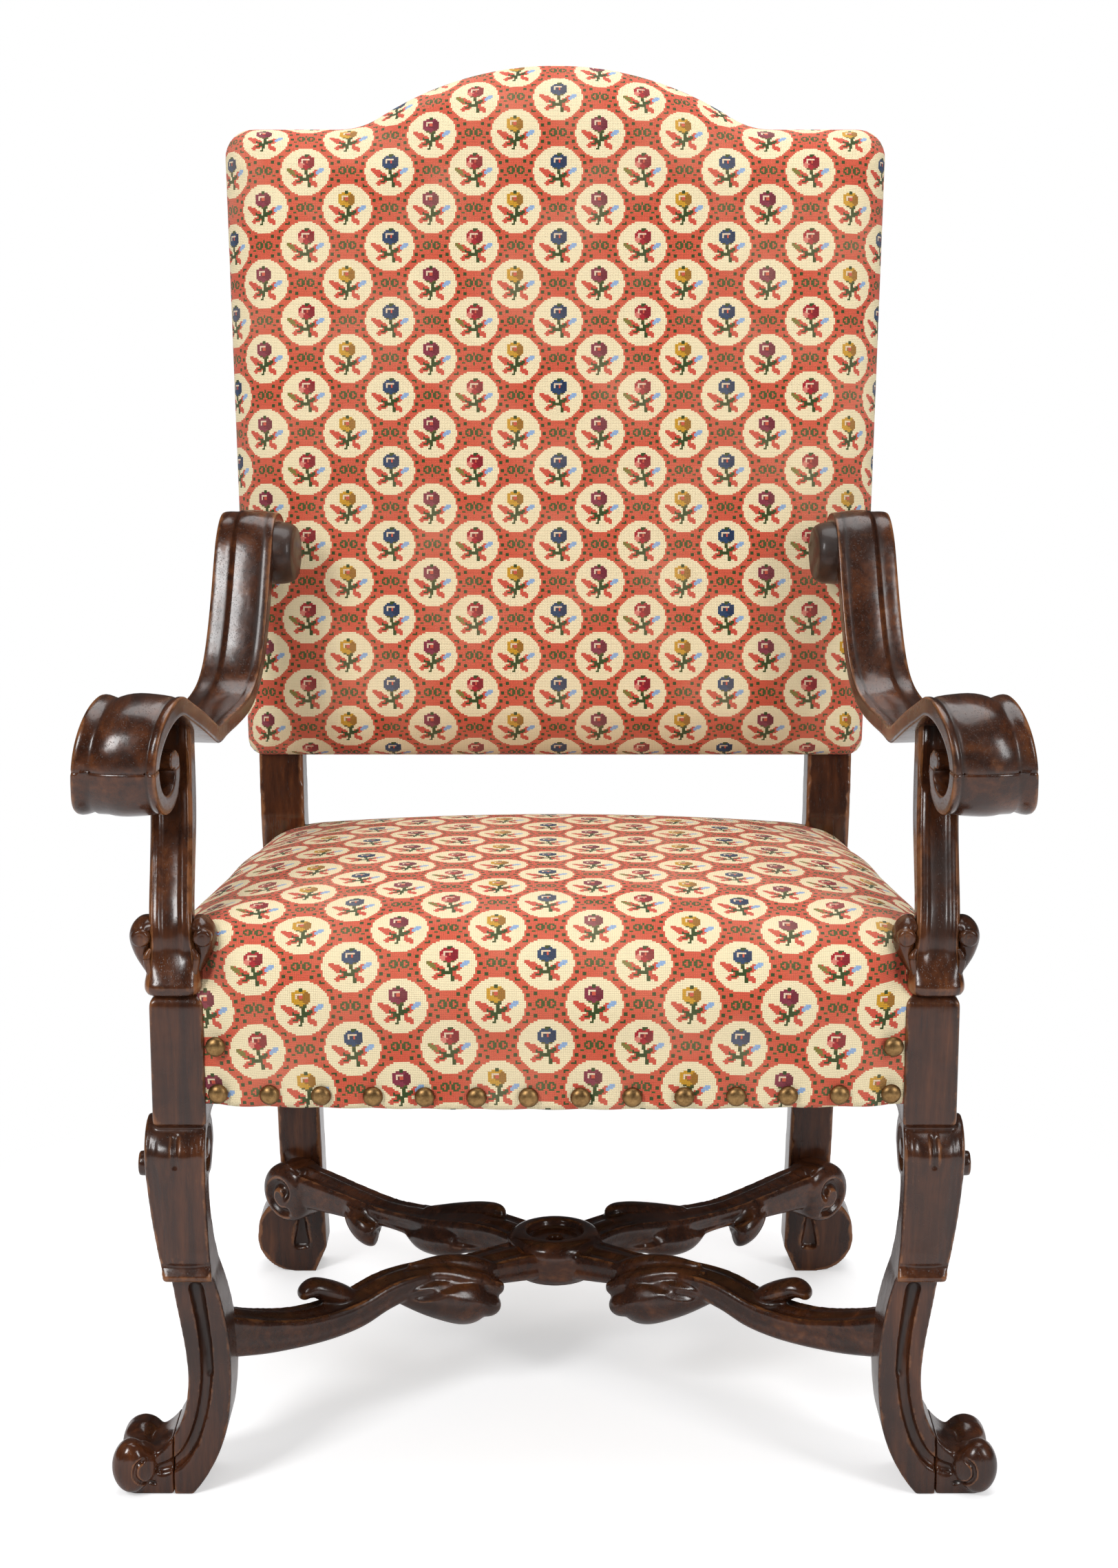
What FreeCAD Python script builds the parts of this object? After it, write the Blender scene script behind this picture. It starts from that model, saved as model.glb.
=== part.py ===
import FreeCAD, Part
import math
import os
from types import SimpleNamespace

import Sketcher

# Driving dimensions of the chair, in millimetres, with angles in degrees.
# X runs to the sitter's left hand, Y from the front to the back, Z up from the floor.
# The floor is Z 0 and the middle of the chair's depth is Y 0.
SIZES = {
    # front legs: square block, knee scroll, shin and foot
    "front_span": 610,
    "front_face": 295.1,
    "block_width": 44,
    "block_depth": 58,
    "block_bottom": 318,
    "block_top": 424,
    "block_chamfer": 6,
    "knee_radius": 29,
    "knee_width": 50,
    "knee_shift": 4,
    "knee_forward": 6,
    "knee_sink": 7,
    "knee_ribbon": 28,
    "knee_cut_angle": 58,
    "knee_bow_out": 3,
    "knee_bow_in": 2,
    "knee_hollow": 1,
    "knee_back_bow": 5,
    "knee_recess": 5,
    "knee_ring_radius": 19,
    "knee_eye_radius": 8.7,
    "knee_boss": 8,
    "knee_boss_radius": 10.4,
    "knee_boss_drop": 13,
    "ledge_height": 190,
    "ledge_width": 39.5,
    "ledge_shift": -4,
    "ledge_step": 5,
    "ledge_depth": 50,
    "shin_height": 115,
    "shin_width": 36.5,
    "shin_shift": -18,
    "ankle_height": 62,
    "ankle_width": 40,
    "ankle_shift": -13,
    "leg_depth": 58,
    "shin_step": 2,
    "shin_hollow": 3,
    "ankle_kick": 1,
    "toe_kick": 3,
    "heel_kick": 4,
    "heel_bow": 3,
    "heel_inset": 3,
    "heel_sweep": 20,
    "instep_inset": 1,
    "instep_drop": 4,
    "toe_reach": 45,
    "toe_height": 26,
    "toe_radius": 17.6,
    "toe_round": 4,
    "toe_tuck": 4,
    "lobe_start": 145,
    "lobe_stop": -5,
    "sole_reach": 2,
    "toe_waist": 12.5,
    "toe_length": 74,
    "toe_joint": 13,
    "channel_width": 9,
    "channel_depth": 5,
    "channel_drop": 6,
    "channel_shin_shift": 2,
    "channel_ankle_shift": 4,
    "channel_turn_out": 8,
    "channel_turn_in": 4,
    "channel_end_inset": 6,
    # rear posts, which run from the floor to the crest
    "rear_floor_half": 272,
    "post_splay": 0.0236,
    "post_width": 42,
    "post_depth": 44,
    "rear_foot_face": 192.9,
    "rear_seat_face": 157.9,
    "bend_height": 480,
    "back_rake": 9,
    "rear_toe_reach": 27,
    "rear_toe_height": 78,
    "rear_heel_cut": 12,
    "rear_toe_ease": 3,
    "rear_toe_curl": 7,
    "rear_sole_inset": 8,
    "comma_belly": 10,
    "comma_tail": 18,
    "comma_width": 17,
    "post_top_gap": 4,
    # seat rails, back rails and their joints
    "rail_top": 415,
    "rail_height": 70,
    "rail_thickness": 26,
    "rail_bow": 14,
    "rail_setback": 4,
    "tenon_length": 20,
    "stub_tenon_length": 12,
    "tenon_thickness": 10,
    "tenon_shoulder": 10,
    "joint_clearance": 0.15,
    "back_rail_height": 52,
    "back_rail_thickness": 24,
    "back_rail_lift": 10,
    # arms: a moulded ribbon rolled at both ends
    "arm_rear_x": 291,
    "arm_rear_y": 121.9,
    "arm_rear_rise": 135,
    "hand_shift": 36.4,
    "arm_length": 381,
    "rear_roll_radius": 18.5,
    "rear_roll_start": -70,
    "rear_core_recess": 5,
    "elbow_setback": 120,
    "elbow_height": 608,
    "elbow_radius": 62,
    "sweep_setback": 215,
    "sweep_radius": 110,
    "hand_rise": 12.5,
    "hand_roll_radius": 34.5,
    "hand_clearance": 6,
    "eye_cover": 1,
    "eye_recess": 4,
    "ribbon_rear_width": 52,
    "ribbon_hand_width": 70,
    "ribbon_edge": 13,
    "ribbon_crown": 18,
    "ribbon_lip": 4,
    "ribbon_lip_rise": 1.5,
    "ribbon_cove": 6,
    "ribbon_cove_depth": 1.5,
    "hand_joint_drop": 0.5,
    "arm_tenon_width": 18,
    "arm_tenon_height": 30,
    # arm supports
    "support_width": 32,
    "support_foot_width": 43,
    "support_top_width": 32,
    "support_depth": 46,
    "support_lean": 14,
    "support_neck": 30,
    "support_shift": 3,
    "support_overrun": 60,
    "support_foot_ease": 3,
    "support_foot_rise": 25,
    "support_foot_kick": 3,
    "support_front_bow": 5,
    "support_waist_set": 10,
    "support_roll_radius": 22,
    "support_roll_ear": 13,
    "support_roll_shift": 4,
    "support_roll_set": 12,
    "support_roll_lift": 14,
    "support_channel": 4,
    "support_rim": 7,
    "support_channel_rise": 16,
    "arm_dowel_drop": 9,
    "dowel_diameter": 12,
    "dowel_length": 36,
    # crossed stretcher
    "boss_y": -26.1,
    "boss_radius": 44,
    "boss_foot_inset": 10,
    "boss_belly": 2,
    "boss_shoulder": 6,
    "boss_round": 4,
    "lap_radius": 50,
    "boss_top": 130,
    "boss_bottom": 88,
    "dish_radius": 26.25,
    "dish_depth": 8,
    "dish_rim": 5,
    "dish_taper": 2,
    "finial_bore": 6.25,
    "finial_bore_depth": 26,
    "stretcher_width": 38,
    "stretcher_top": 124,
    "stretcher_bottom": 90,
    "pod_distance": 128,
    "pod_length": 118,
    "pod_radius": 30,
    "pod_tilt": 14,
    "pod_lift": 8,
    "bud_length": 48,
    "bud_radius": 15,
    "bud_lift": 2,
    "volute_radius": 30,
    "volute_shift": 18,
    "volute_drop": 8,
    "stretcher_tenon_height": 20,
    # seat upholstery
    "cover_thickness": 2,
    "soft_clearance": 0.3,
    "seat_bottom": 340,
    "seat_top": 504,
    "seat_side_bulge": 6,
    "seat_rear_overhang": 3,
    "strap_width": 54,
    "strap_thickness": 1.5,
    "strap_margin": 8,
    "strap_inset": 4,
    "hessian_thickness": 1,
    # back upholstery
    "back_bottom": 531,
    "back_top": 1176.5,
    "back_side_low": 10,
    "back_side_high": 15,
    "back_corner": 26,
    "crest_rise": 60,
    "crest_inset": 12,
    "crest_radius": 310,
    "scoop_radius": 70,
    "back_padding": 34,
    # dome-headed nails
    "nail_head": 16.5,
    "nail_dome": 4.6,
    "nail_shank": 2.4,
    "nail_length": 14,
    "nail_point": 3,
    "nail_margin": 3,
    "nail_line": 352,
    "end_nail_rise": 40,
    "front_nail_count": 14,
    "side_nail_count": 9,
}

# Turns of the hand's scroll: a share of its radius, and the angle that it is held to.
HAND_TURNS = [(1, 200), (0.7, 300), (0.36, 410)]

# The support's neck bends round the hand's roll from this angle below the level,
# and its waist keeps this share of its depth.
NECK_ANGLE = math.radians(45)
WAIST_SHARE = 0.7

# Outlines of the stretcher's bars: shares of the way from the boss, and the rise over the bar's level edge.
FRONT_BAR_TOP = [(0, 0), (0.22, 3), (0.45, 5), (0.68, -4), (0.86, -6), (1.12, 6)]
FRONT_BAR_LOW = [(1.12, 4), (0.86, -5), (0.68, 0), (0.45, 8), (0.22, 6), (0, 0)]
REAR_BAR_TOP = [(0, 0), (0.3, 4), (0.6, -2)]
REAR_BAR_LOW = [(0.72, 6), (0.6, 2), (0.38, -10), (0, 0)]
REAR_VOLUTE_SHARE = 0.95
REAR_BUD_SHARE = 0.66

# The back's padding: shares of its depth, with the scale of its outline at each.
BACK_SWELL = [(0, 1), (0.40, 0.992), (0.66, 0.975), (0.84, 0.948), (0.94, 0.90), (0.985, 0.75), (1, 0.45)]

# The seat's upholstery: shares of its height, with the scale of its outline at each.
SEAT_SWELL = [
    (0, 1), (0.14, 1), (0.3, 1.004), (0.5, 1), (0.62, 0.99), (0.72, 0.968),
    (0.8, 0.932), (0.87, 0.875), (0.93, 0.785), (0.97, 0.65), (1, 0.35),
]

# Scales of the back's outline for the cloths inside it and behind it.
REAR_EDGE_SCALE = 0.994
HESSIAN_SCALE = 0.94
OUTSIDE_BACK_SCALE = 0.99

# A sketch starts from these rough half sizes and takes its own from the sheet.
ROUGH_HALF = 30
ROUGH_RISE = 10

# Far enough to pass right through the chair in any direction.
THROUGH = 4000

doc = FreeCAD.newDocument("open_arm_chair")
sheet = doc.addObject("Spreadsheet::Sheet", "sizes")
for row, (alias, value) in enumerate(SIZES.items(), start=1):
    sheet.set(f"A{row}", alias)
    sheet.set(f"B{row}", str(value))
    sheet.setAlias(f"B{row}", alias)
doc.recompute()
d = SimpleNamespace(**{alias: float(sheet.get(alias)) for alias in SIZES})

V = FreeCAD.Vector
UP = V(0, 0, 1)
ACROSS = V(1, 0, 0)
BACK = V(0, 1, 0)
ORIGIN = V(0, 0, 0)
pieces = []


def keep(label, shape):
    """A piece whose form is carved, bent or upholstered, under its own label."""
    piece = doc.addObject("Part::Feature", label)
    piece.Label = label
    piece.Shape = shape
    piece.Placement = FreeCAD.Placement()
    pieces.append(piece)
    return piece


def keep_pair(name, right):
    """The right-hand piece and its mirror image across the middle of the chair."""
    keep("right_" + name, right)
    keep("left_" + name, mirrored(right))


def mirrored(shape):
    return shape.mirror(ORIGIN, ACROSS)


def both_sides(shape):
    return [shape, mirrored(shape)]


def line(start, end):
    return Part.LineSegment(start, end).toShape()


def arc(start, through, end):
    return Part.Arc(start, through, end).toShape()


def curve(*points):
    """A smooth curve through a few points."""
    spline = Part.BSplineCurve()
    spline.interpolate(list(points))
    return spline.toShape()


def closed_face(edges):
    return Part.Face(Part.Wire(Part.__sortEdges__(edges)))


def polygon_face(points):
    return Part.Face(Part.makePolygon(list(points) + [points[0]]))


def front_slab(edges):
    """A front outline, drawn at Y 0, carried right through the chair's depth."""
    face = closed_face(edges)
    face.translate(-BACK * (THROUGH / 2))
    return face.extrude(BACK * THROUGH)


def side_slab(edges):
    """A side outline, drawn at X 0, carried right across the chair."""
    face = closed_face(edges)
    face.translate(-ACROSS * (THROUGH / 2))
    return face.extrude(ACROSS * THROUGH)


def box(low, high):
    """A box between two corners."""
    return Part.makeBox(high.x - low.x, high.y - low.y, high.z - low.z, low)


def grown(low, high, room):
    """A box with the same room left on every side."""
    spare = V(room, room, room)
    return box(low - spare, high + spare)


def turned(edges, base, axis):
    """A half outline spun about its axis."""
    solid = closed_face(edges).revolve(base, axis, 360)
    return solid if solid.Volume > 0 else solid.reversed()


def joined(*shapes):
    solid = shapes[0].fuse(list(shapes[1:]))
    return solid.removeSplitter()


# Places that several pieces share.
block_x = d.front_span / 2
block_front = -d.front_face
block_rear = block_front + d.block_depth
block_inner = block_x - d.block_width / 2
block_outer = block_x + d.block_width / 2
rail_low = d.rail_top - d.rail_height
rake = math.radians(d.back_rake)
splay = math.asin((block_x + d.hand_shift - d.arm_rear_x) / d.arm_length)


def post_outer(height):
    return d.rear_floor_half + d.post_splay * height


def post_inner(height):
    return post_outer(height) - d.post_width


def post_face(height):
    """Y of the posts' front face, which leans forward to the bend and back above it."""
    if height <= d.bend_height:
        lean = (d.rear_foot_face - d.rear_seat_face) / d.bend_height
        return d.rear_foot_face - lean * height
    return d.rear_seat_face + math.tan(rake) * (height - d.bend_height)


# Back upholstery frame: X across, W up along the raked posts, N forward from their rear face.
back_origin = V(0, d.rear_seat_face + d.post_depth, d.bend_height)
back_up = V(0, math.sin(rake), math.cos(rake))
back_forward = V(0, -math.cos(rake), math.sin(rake))
post_thickness = d.post_depth * math.cos(rake)


def on_back(x, w, n):
    return back_origin + ACROSS * x + back_up * w + back_forward * n


def back_w(height):
    """Distance along the rake of a height measured on the posts' rear face."""
    return (height - d.bend_height) / math.cos(rake)


back_low = back_w(d.back_bottom)
back_high = back_w(d.back_top)
shoulder_w = back_high - d.crest_rise
post_top = d.bend_height + (shoulder_w - d.cover_thickness - d.post_top_gap) * math.cos(rake)
crest_angle = math.acos(1 - d.crest_rise / (d.crest_radius + d.scoop_radius))


def rear_post():
    """The right rear post: a splayed, raked bar with a scrolled foot kicked outwards."""
    def at(x, z):
        return V(x, 0, z)

    foot = d.rear_toe_height
    reach = post_outer(0) + d.rear_toe_reach
    sole = post_outer(0) - d.rear_sole_inset
    edges = [
        line(at(post_inner(foot / 3), foot / 3), at(post_inner(post_top), post_top)),
        line(at(post_inner(post_top), post_top), at(post_outer(post_top), post_top)),
        line(at(post_outer(post_top), post_top), at(post_outer(foot), foot)),
        arc(at(post_outer(foot), foot), at(reach - d.rear_toe_ease, foot * 0.75), at(reach, foot * 0.54)),
        arc(at(reach, foot * 0.54), at(reach - d.rear_toe_curl, foot * 0.18), at(sole, 0)),
        line(at(sole, 0), at(post_inner(0) + d.rear_heel_cut, 0)),
        line(at(post_inner(0) + d.rear_heel_cut, 0), at(post_inner(foot / 3), foot / 3)),
    ]

    def side(y, z):
        return V(0, y, z)

    profile = [
        side(post_face(0), 0),
        side(post_face(d.bend_height), d.bend_height),
        side(post_face(post_top), post_top),
        side(post_face(post_top) + d.post_depth, post_top),
        side(post_face(d.bend_height) + d.post_depth, d.bend_height),
        side(post_face(0) + d.post_depth, 0),
    ]
    sides = [line(a, b) for a, b in zip(profile, profile[1:] + profile[:1])]
    post = front_slab(edges).common(side_slab(sides))
    tail = post_outer(0) - d.comma_tail
    groove = front_slab([
        arc(at(sole, foot * 0.33), at(post_outer(0) - d.comma_belly, foot * 0.5), at(tail, foot)),
        line(at(tail, foot), at(sole - d.comma_width, foot * 0.35)),
        line(at(sole - d.comma_width, foot * 0.35), at(sole, foot * 0.33)),
    ])
    inner_side = side_slab(sides)
    inner_side.translate(BACK * d.channel_depth)
    return post.cut(groove.cut(inner_side))


def leg_edge(width, shift, side):
    """X of one edge of the leg at a station, side 1 outwards and -1 inwards."""
    return block_x + shift + side * width / 2


def knee():
    """The knee: a ribbon that rises from the ledge, rolls back over itself and is cut off."""
    def at(x, z):
        return V(x, 0, z)

    roll_z = d.block_bottom - d.knee_radius + d.knee_sink
    low = d.ledge_height
    knee_out = leg_edge(d.knee_width, d.knee_shift, 1)
    knee_in = leg_edge(d.knee_width, d.knee_shift, -1)
    ledge_out = leg_edge(d.ledge_width, d.ledge_shift, 1)
    ledge_in = leg_edge(d.ledge_width, d.ledge_shift, -1)
    top = d.block_bottom + d.knee_sink
    bend = (low + roll_z) / 2
    front = [
        line(at(knee_in, top), at(knee_out, top)),
        line(at(knee_out, top), at(knee_out, roll_z)),
        curve(at(knee_out, roll_z), at((knee_out + ledge_out) / 2 + d.knee_bow_out, bend),
              at(ledge_out, low)),
        line(at(ledge_out, low), at(ledge_in, low)),
        curve(at(ledge_in, low), at((knee_in + ledge_in) / 2 + d.knee_bow_in, bend), at(knee_in, roll_z)),
        line(at(knee_in, roll_z), at(knee_in, top)),
    ]

    def side(y, z):
        return V(0, block_front + y, z)

    radius = d.knee_radius
    roll_y = radius - d.knee_forward

    def on_roll(angle):
        return side(roll_y + radius * math.cos(angle), roll_z - radius * math.sin(angle))

    cut = math.radians(d.knee_cut_angle)
    cut_z = on_roll(cut).z
    back_y = -d.knee_forward + d.knee_ribbon
    profile = [
        curve(side(-d.ledge_step, low), side(-d.knee_hollow, bend), side(-d.knee_forward, roll_z)),
        arc(side(-d.knee_forward, roll_z), side(roll_y, roll_z + radius), on_roll(0)),
        arc(on_roll(0), on_roll(cut / 2), on_roll(cut)),
        line(on_roll(cut), side(back_y, cut_z)),
        curve(side(back_y, cut_z), side(back_y + d.knee_back_bow, bend), side(d.ledge_depth, low)),
        line(side(d.ledge_depth, low), side(-d.ledge_step, low)),
    ]
    ribbon = front_slab(front).common(side_slab(profile))
    eye = V(0, block_front + roll_y, roll_z)
    ring = Part.makeCylinder(d.knee_ring_radius, d.knee_recess, eye, ACROSS)
    ring = ring.cut(Part.makeCylinder(d.knee_eye_radius, d.knee_recess, eye, ACROSS))
    outer_ring = ring.translated(ACROSS * (knee_out - d.knee_recess))
    inner_ring = ring.translated(ACROSS * knee_in)
    boss = Part.makeCylinder(d.knee_boss_radius, d.knee_boss + d.knee_recess, eye, ACROSS)
    boss.translate(ACROSS * (knee_out - d.knee_recess) - UP * d.knee_boss_drop)
    return joined(ribbon.cut([outer_ring, inner_ring]), boss)


def foot_outline():
    """Front outline of the shin and foot, from the ledge to the toe's lobe and the heel."""
    def at(x, z):
        return V(x, 0, z)

    low = d.ledge_height
    ledge_out = leg_edge(d.ledge_width, d.ledge_shift, 1) - d.ledge_step
    ledge_in = leg_edge(d.ledge_width, d.ledge_shift, -1)
    shin_out = leg_edge(d.shin_width, d.shin_shift, 1)
    shin_in = leg_edge(d.shin_width, d.shin_shift, -1)
    ankle_out = leg_edge(d.ankle_width, d.ankle_shift, 1)
    ankle_in = leg_edge(d.ankle_width, d.ankle_shift, -1)
    lobe_x = block_x + d.toe_reach

    def lobe(angle):
        turn = math.radians(angle)
        return at(lobe_x + d.toe_radius * math.cos(turn), d.toe_height + d.toe_radius * math.sin(turn))

    heel = at(block_x - d.heel_inset, 0)
    sole = at(lobe_x + d.sole_reach, 0)
    top = lobe(d.lobe_start)
    tip = lobe(d.lobe_stop)
    instep = at((ankle_out + top.x) / 2 - d.instep_inset, (d.ankle_height + top.z) / 2 - d.instep_drop)
    outer = [at(ledge_out, low), at(shin_out, d.shin_height), at(ankle_out, d.ankle_height)]
    return [
        line(at(ledge_in, low), at(ledge_out, low)),
        curve(*outer, instep, top),
        arc(top, lobe((d.lobe_start + d.lobe_stop) / 2), tip),
        arc(tip, at(tip.x - d.toe_tuck, d.toe_height * 0.35), sole),
        line(sole, heel),
        arc(heel, at(block_x - d.heel_sweep, d.ankle_height * 0.4), at(ankle_in, d.ankle_height)),
        curve(at(ankle_in, d.ankle_height), at(shin_in, d.shin_height), at(ledge_in, low)),
    ]


def foot_profile(set_in):
    """Side outline of the shin and foot, its front face moved back by set_in."""
    def side(y, z):
        return V(0, block_front + y, z)

    low = d.ledge_height
    rear = d.leg_depth
    return [
        curve(side(set_in + d.shin_step, low), side(set_in + d.shin_hollow, d.shin_height),
              side(set_in - d.ankle_kick, d.ankle_height / 2), side(set_in - d.toe_kick, 0)),
        line(side(set_in - d.toe_kick, 0), side(rear + d.heel_kick, 0)),
        curve(side(rear + d.heel_kick, 0), side(rear + d.heel_bow, d.ankle_height / 2),
              side(rear, d.shin_height), side(d.ledge_depth, low)),
        line(side(d.ledge_depth, low), side(set_in + d.shin_step, low)),
    ]


def shin_channel():
    """The carved channel that follows the shin's curve into the toe, at an even depth."""
    def at(x, z):
        return V(x, 0, z)

    half = d.channel_width / 2
    mid_ledge = block_x + d.ledge_shift - d.ledge_step
    mid_shin = block_x + d.shin_shift + d.channel_shin_shift
    mid_ankle = block_x + d.ankle_shift + d.channel_ankle_shift
    top = d.ledge_height - d.channel_drop
    end_x = block_x + d.toe_reach - d.channel_end_inset
    end_z = d.toe_height * 0.85
    start_z = d.ankle_height * 0.52
    outer = curve(at(mid_ledge + half, top), at(mid_shin + half, d.shin_height),
                  at(mid_ankle + half, d.ankle_height), at(block_x + d.channel_turn_out, start_z + half),
                  at(end_x, end_z + half * 0.6))
    inner = curve(at(end_x, end_z - half * 0.6), at(block_x + d.channel_turn_in, start_z - half),
                  at(mid_ankle - half, d.ankle_height), at(mid_shin - half, d.shin_height),
                  at(mid_ledge - half, top))
    strip = front_slab([outer, line(at(end_x, end_z + half * 0.6), at(end_x, end_z - half * 0.6)), inner,
                        line(at(mid_ledge - half, top), at(mid_ledge + half, top))])
    return strip.cut(side_slab(foot_profile(d.channel_depth)))


def toe_spool():
    """The rolled toe: a spool across the foot with two rolls and a hollow waist."""
    half = d.toe_length / 2
    roll = half * 0.42
    axis = V(block_x + d.toe_reach, block_front + d.leg_depth / 2, d.toe_height)

    def at(y, r):
        return axis + V(0, y, r)

    top = d.toe_radius
    rounding = d.toe_round
    dip = rounding * (1 - math.sqrt(0.5))
    edges = [
        line(at(-half, 0), at(-half, top - rounding)),
        arc(at(-half, top - rounding), at(-half + dip, top - dip), at(-half + rounding, top)),
        line(at(-half + rounding, top), at(-roll, top)),
        arc(at(-roll, top), at(0, d.toe_waist), at(roll, top)),
        line(at(roll, top), at(half - rounding, top)),
        arc(at(half - rounding, top), at(half - dip, top - dip), at(half, top - rounding)),
        line(at(half, top - rounding), at(half, 0)),
        line(at(half, 0), at(-half, 0)),
    ]
    return turned(edges, axis, BACK)


def front_leg_and_toe():
    """The right front leg, from the block to the heel, and the block glued on for its toe."""
    foot = front_slab(foot_outline()).common(side_slab(foot_profile(0)))
    foot = foot.cut(shin_channel())
    joint_x = block_x + d.toe_joint
    far = V(THROUGH, THROUGH, d.ankle_height)
    toe_side = box(V(joint_x, -THROUGH, -1), far)
    block = Part.makeBox(d.block_width, d.block_depth, d.block_top - d.block_bottom,
                         V(block_inner, block_front, d.block_bottom))
    level = [edge for edge in block.Edges if abs(edge.tangentAt(edge.FirstParameter).z) < 0.5]
    block = block.makeChamfer(d.block_chamfer, level)
    leg = joined(block, knee(), foot.cut(toe_side))
    toe_base = foot.common(toe_side)
    lobe_x = block_x + d.toe_reach
    hollow = box(V(lobe_x - d.toe_waist, -THROUGH, d.toe_height), far)
    toe = joined(toe_base.cut(hollow), toe_spool().common(toe_side))
    return leg, toe


def volute_path(centre, radius, start, turns):
    """Arcs that wind inwards: each turn is a radius and an angle reached, tangent to the last."""
    edges = []
    angle = start
    for step_radius, stop in turns:
        shift = radius - step_radius
        centre = (centre[0] + shift * math.cos(angle), centre[1] + shift * math.sin(angle))
        radius = step_radius
        points = []
        for share in (0, 0.5, 1):
            turn = angle + (stop - angle) * share
            points.append(V(0, centre[0] + radius * math.cos(turn), centre[1] + radius * math.sin(turn)))
        edges.append(arc(*points))
        angle = stop
    return edges, centre, radius, angle


def ribbon_section(width, spot, outward):
    """The arm's moulded section: flat under, square edges, a cove inside each and a round crown."""
    half = width / 2
    lip = half - d.ribbon_lip
    cove = lip - d.ribbon_cove
    edge = d.ribbon_edge
    crest = edge + d.ribbon_lip_rise
    hollow = edge - d.ribbon_cove_depth

    def at(x, rise):
        return spot + ACROSS * x + outward * rise

    edges = [
        line(at(-half, 0), at(half, 0)),
        line(at(half, 0), at(half, edge)),
        line(at(half, edge), at(lip, crest)),
        arc(at(lip, crest), at((lip + cove) / 2, hollow), at(cove, edge)),
        arc(at(cove, edge), at(0, d.ribbon_crown), at(-cove, edge)),
        arc(at(-cove, edge), at(-(lip + cove) / 2, hollow), at(-lip, crest)),
        line(at(-lip, crest), at(-half, edge)),
        line(at(-half, edge), at(-half, 0)),
    ]
    return Part.Wire(edges)


hand_height = d.elbow_height + d.hand_rise
arm_rear_height = d.elbow_height + d.arm_rear_rise
hand_outer = d.hand_roll_radius + d.ribbon_crown


def outward_at(angle):
    return V(0, math.cos(angle), math.sin(angle))


def arm_ribbon():
    """The arm in its own upright plane, its rear roll's centre at Y 0 and its hand towards -Y."""
    rear = (0, arm_rear_height)
    elbow = (-d.elbow_setback, d.elbow_height + d.elbow_radius)
    sweep = (-d.sweep_setback, d.elbow_height + d.sweep_radius)
    hand = (-d.arm_length, hand_height)

    def span(a, b):
        return math.hypot(b[0] - a[0], b[1] - a[1]), math.atan2(b[1] - a[1], b[0] - a[0]) % (2 * math.pi)

    length, bearing = span(rear, elbow)
    drop = bearing + math.asin((d.rear_roll_radius + d.elbow_radius) / length)
    length, bearing = span(sweep, hand)
    run = bearing - math.asin((d.sweep_radius + d.hand_roll_radius) / length)
    quarter = math.pi / 2
    rear_start = math.radians(d.rear_roll_start)
    rear_stop = drop - quarter
    hand_start = run - quarter
    rear_arcs, _, _, _ = volute_path(rear, d.rear_roll_radius, rear_start,
                                     [(d.rear_roll_radius, rear_stop)])
    turns = [(d.hand_roll_radius * share, math.radians(angle)) for share, angle in HAND_TURNS]
    hand_arcs, eye, eye_radius, hand_stop = volute_path(hand, d.hand_roll_radius, hand_start, turns)

    def on_bend(centre, radius, heading):
        turn = heading + quarter
        return V(0, centre[0] + radius * math.cos(turn), centre[1] + radius * math.sin(turn))

    def bend(centre, radius, start, stop):
        return arc(*[on_bend(centre, radius, heading) for heading in (start, (start + stop) / 2, stop)])

    level = math.pi
    lead_in = on_bend(elbow, d.elbow_radius, drop)
    lead_out = on_bend(sweep, d.sweep_radius, run)

    def end_of(edge, last):
        return edge.Vertexes[-1 if last else 0].Point

    path = rear_arcs + [
        line(end_of(rear_arcs[-1], True), lead_in),
        bend(elbow, d.elbow_radius, drop, level),
        line(on_bend(elbow, d.elbow_radius, level), on_bend(sweep, d.sweep_radius, level)),
        bend(sweep, d.sweep_radius, level, run),
        line(lead_out, end_of(hand_arcs[0], False)),
    ] + hand_arcs
    shell = Part.BRepOffsetAPI.MakePipeShell(Part.Wire(path))
    shell.setBiNormalMode(ACROSS)
    rear_end_section = ribbon_section(d.ribbon_rear_width, end_of(path[0], False), outward_at(rear_start))
    hand_end_section = ribbon_section(d.ribbon_hand_width, end_of(path[-1], True), outward_at(hand_stop))
    shell.add(rear_end_section, False, False)
    shell.add(hand_end_section, False, False)
    shell.build()
    shell.makeSolid()
    return shell.shape(), eye, eye_radius, (lead_out, end_of(hand_arcs[0], False))


def roll_core(centre, radius, width):
    """The recessed core inside a roll, across the arm."""
    return Part.makeCylinder(radius, width, V(-width / 2, centre[0], centre[1]), ACROSS)


def arm_placed(shape):
    """The arm's own plane turned outwards by its splay and set at the back."""
    placed = shape.copy()
    placed.rotate(ORIGIN, UP, math.degrees(splay))
    placed.translate(V(d.arm_rear_x, d.arm_rear_y, 0))
    return placed


def arm_tenon(room):
    """The tenon that carries the arm's rear end through the padding into the post."""
    x = (post_inner(arm_rear_height) + d.arm_rear_x + d.ribbon_rear_width * 0.2) / 2
    low = V(x - d.arm_tenon_width / 2, d.arm_rear_y + d.rear_roll_radius * 0.5,
            arm_rear_height - d.arm_tenon_height / 2)
    high = V(x + d.arm_tenon_width / 2, post_face(arm_rear_height) + d.tenon_length,
             arm_rear_height + d.arm_tenon_height / 2)
    return grown(low, high, room)


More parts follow.
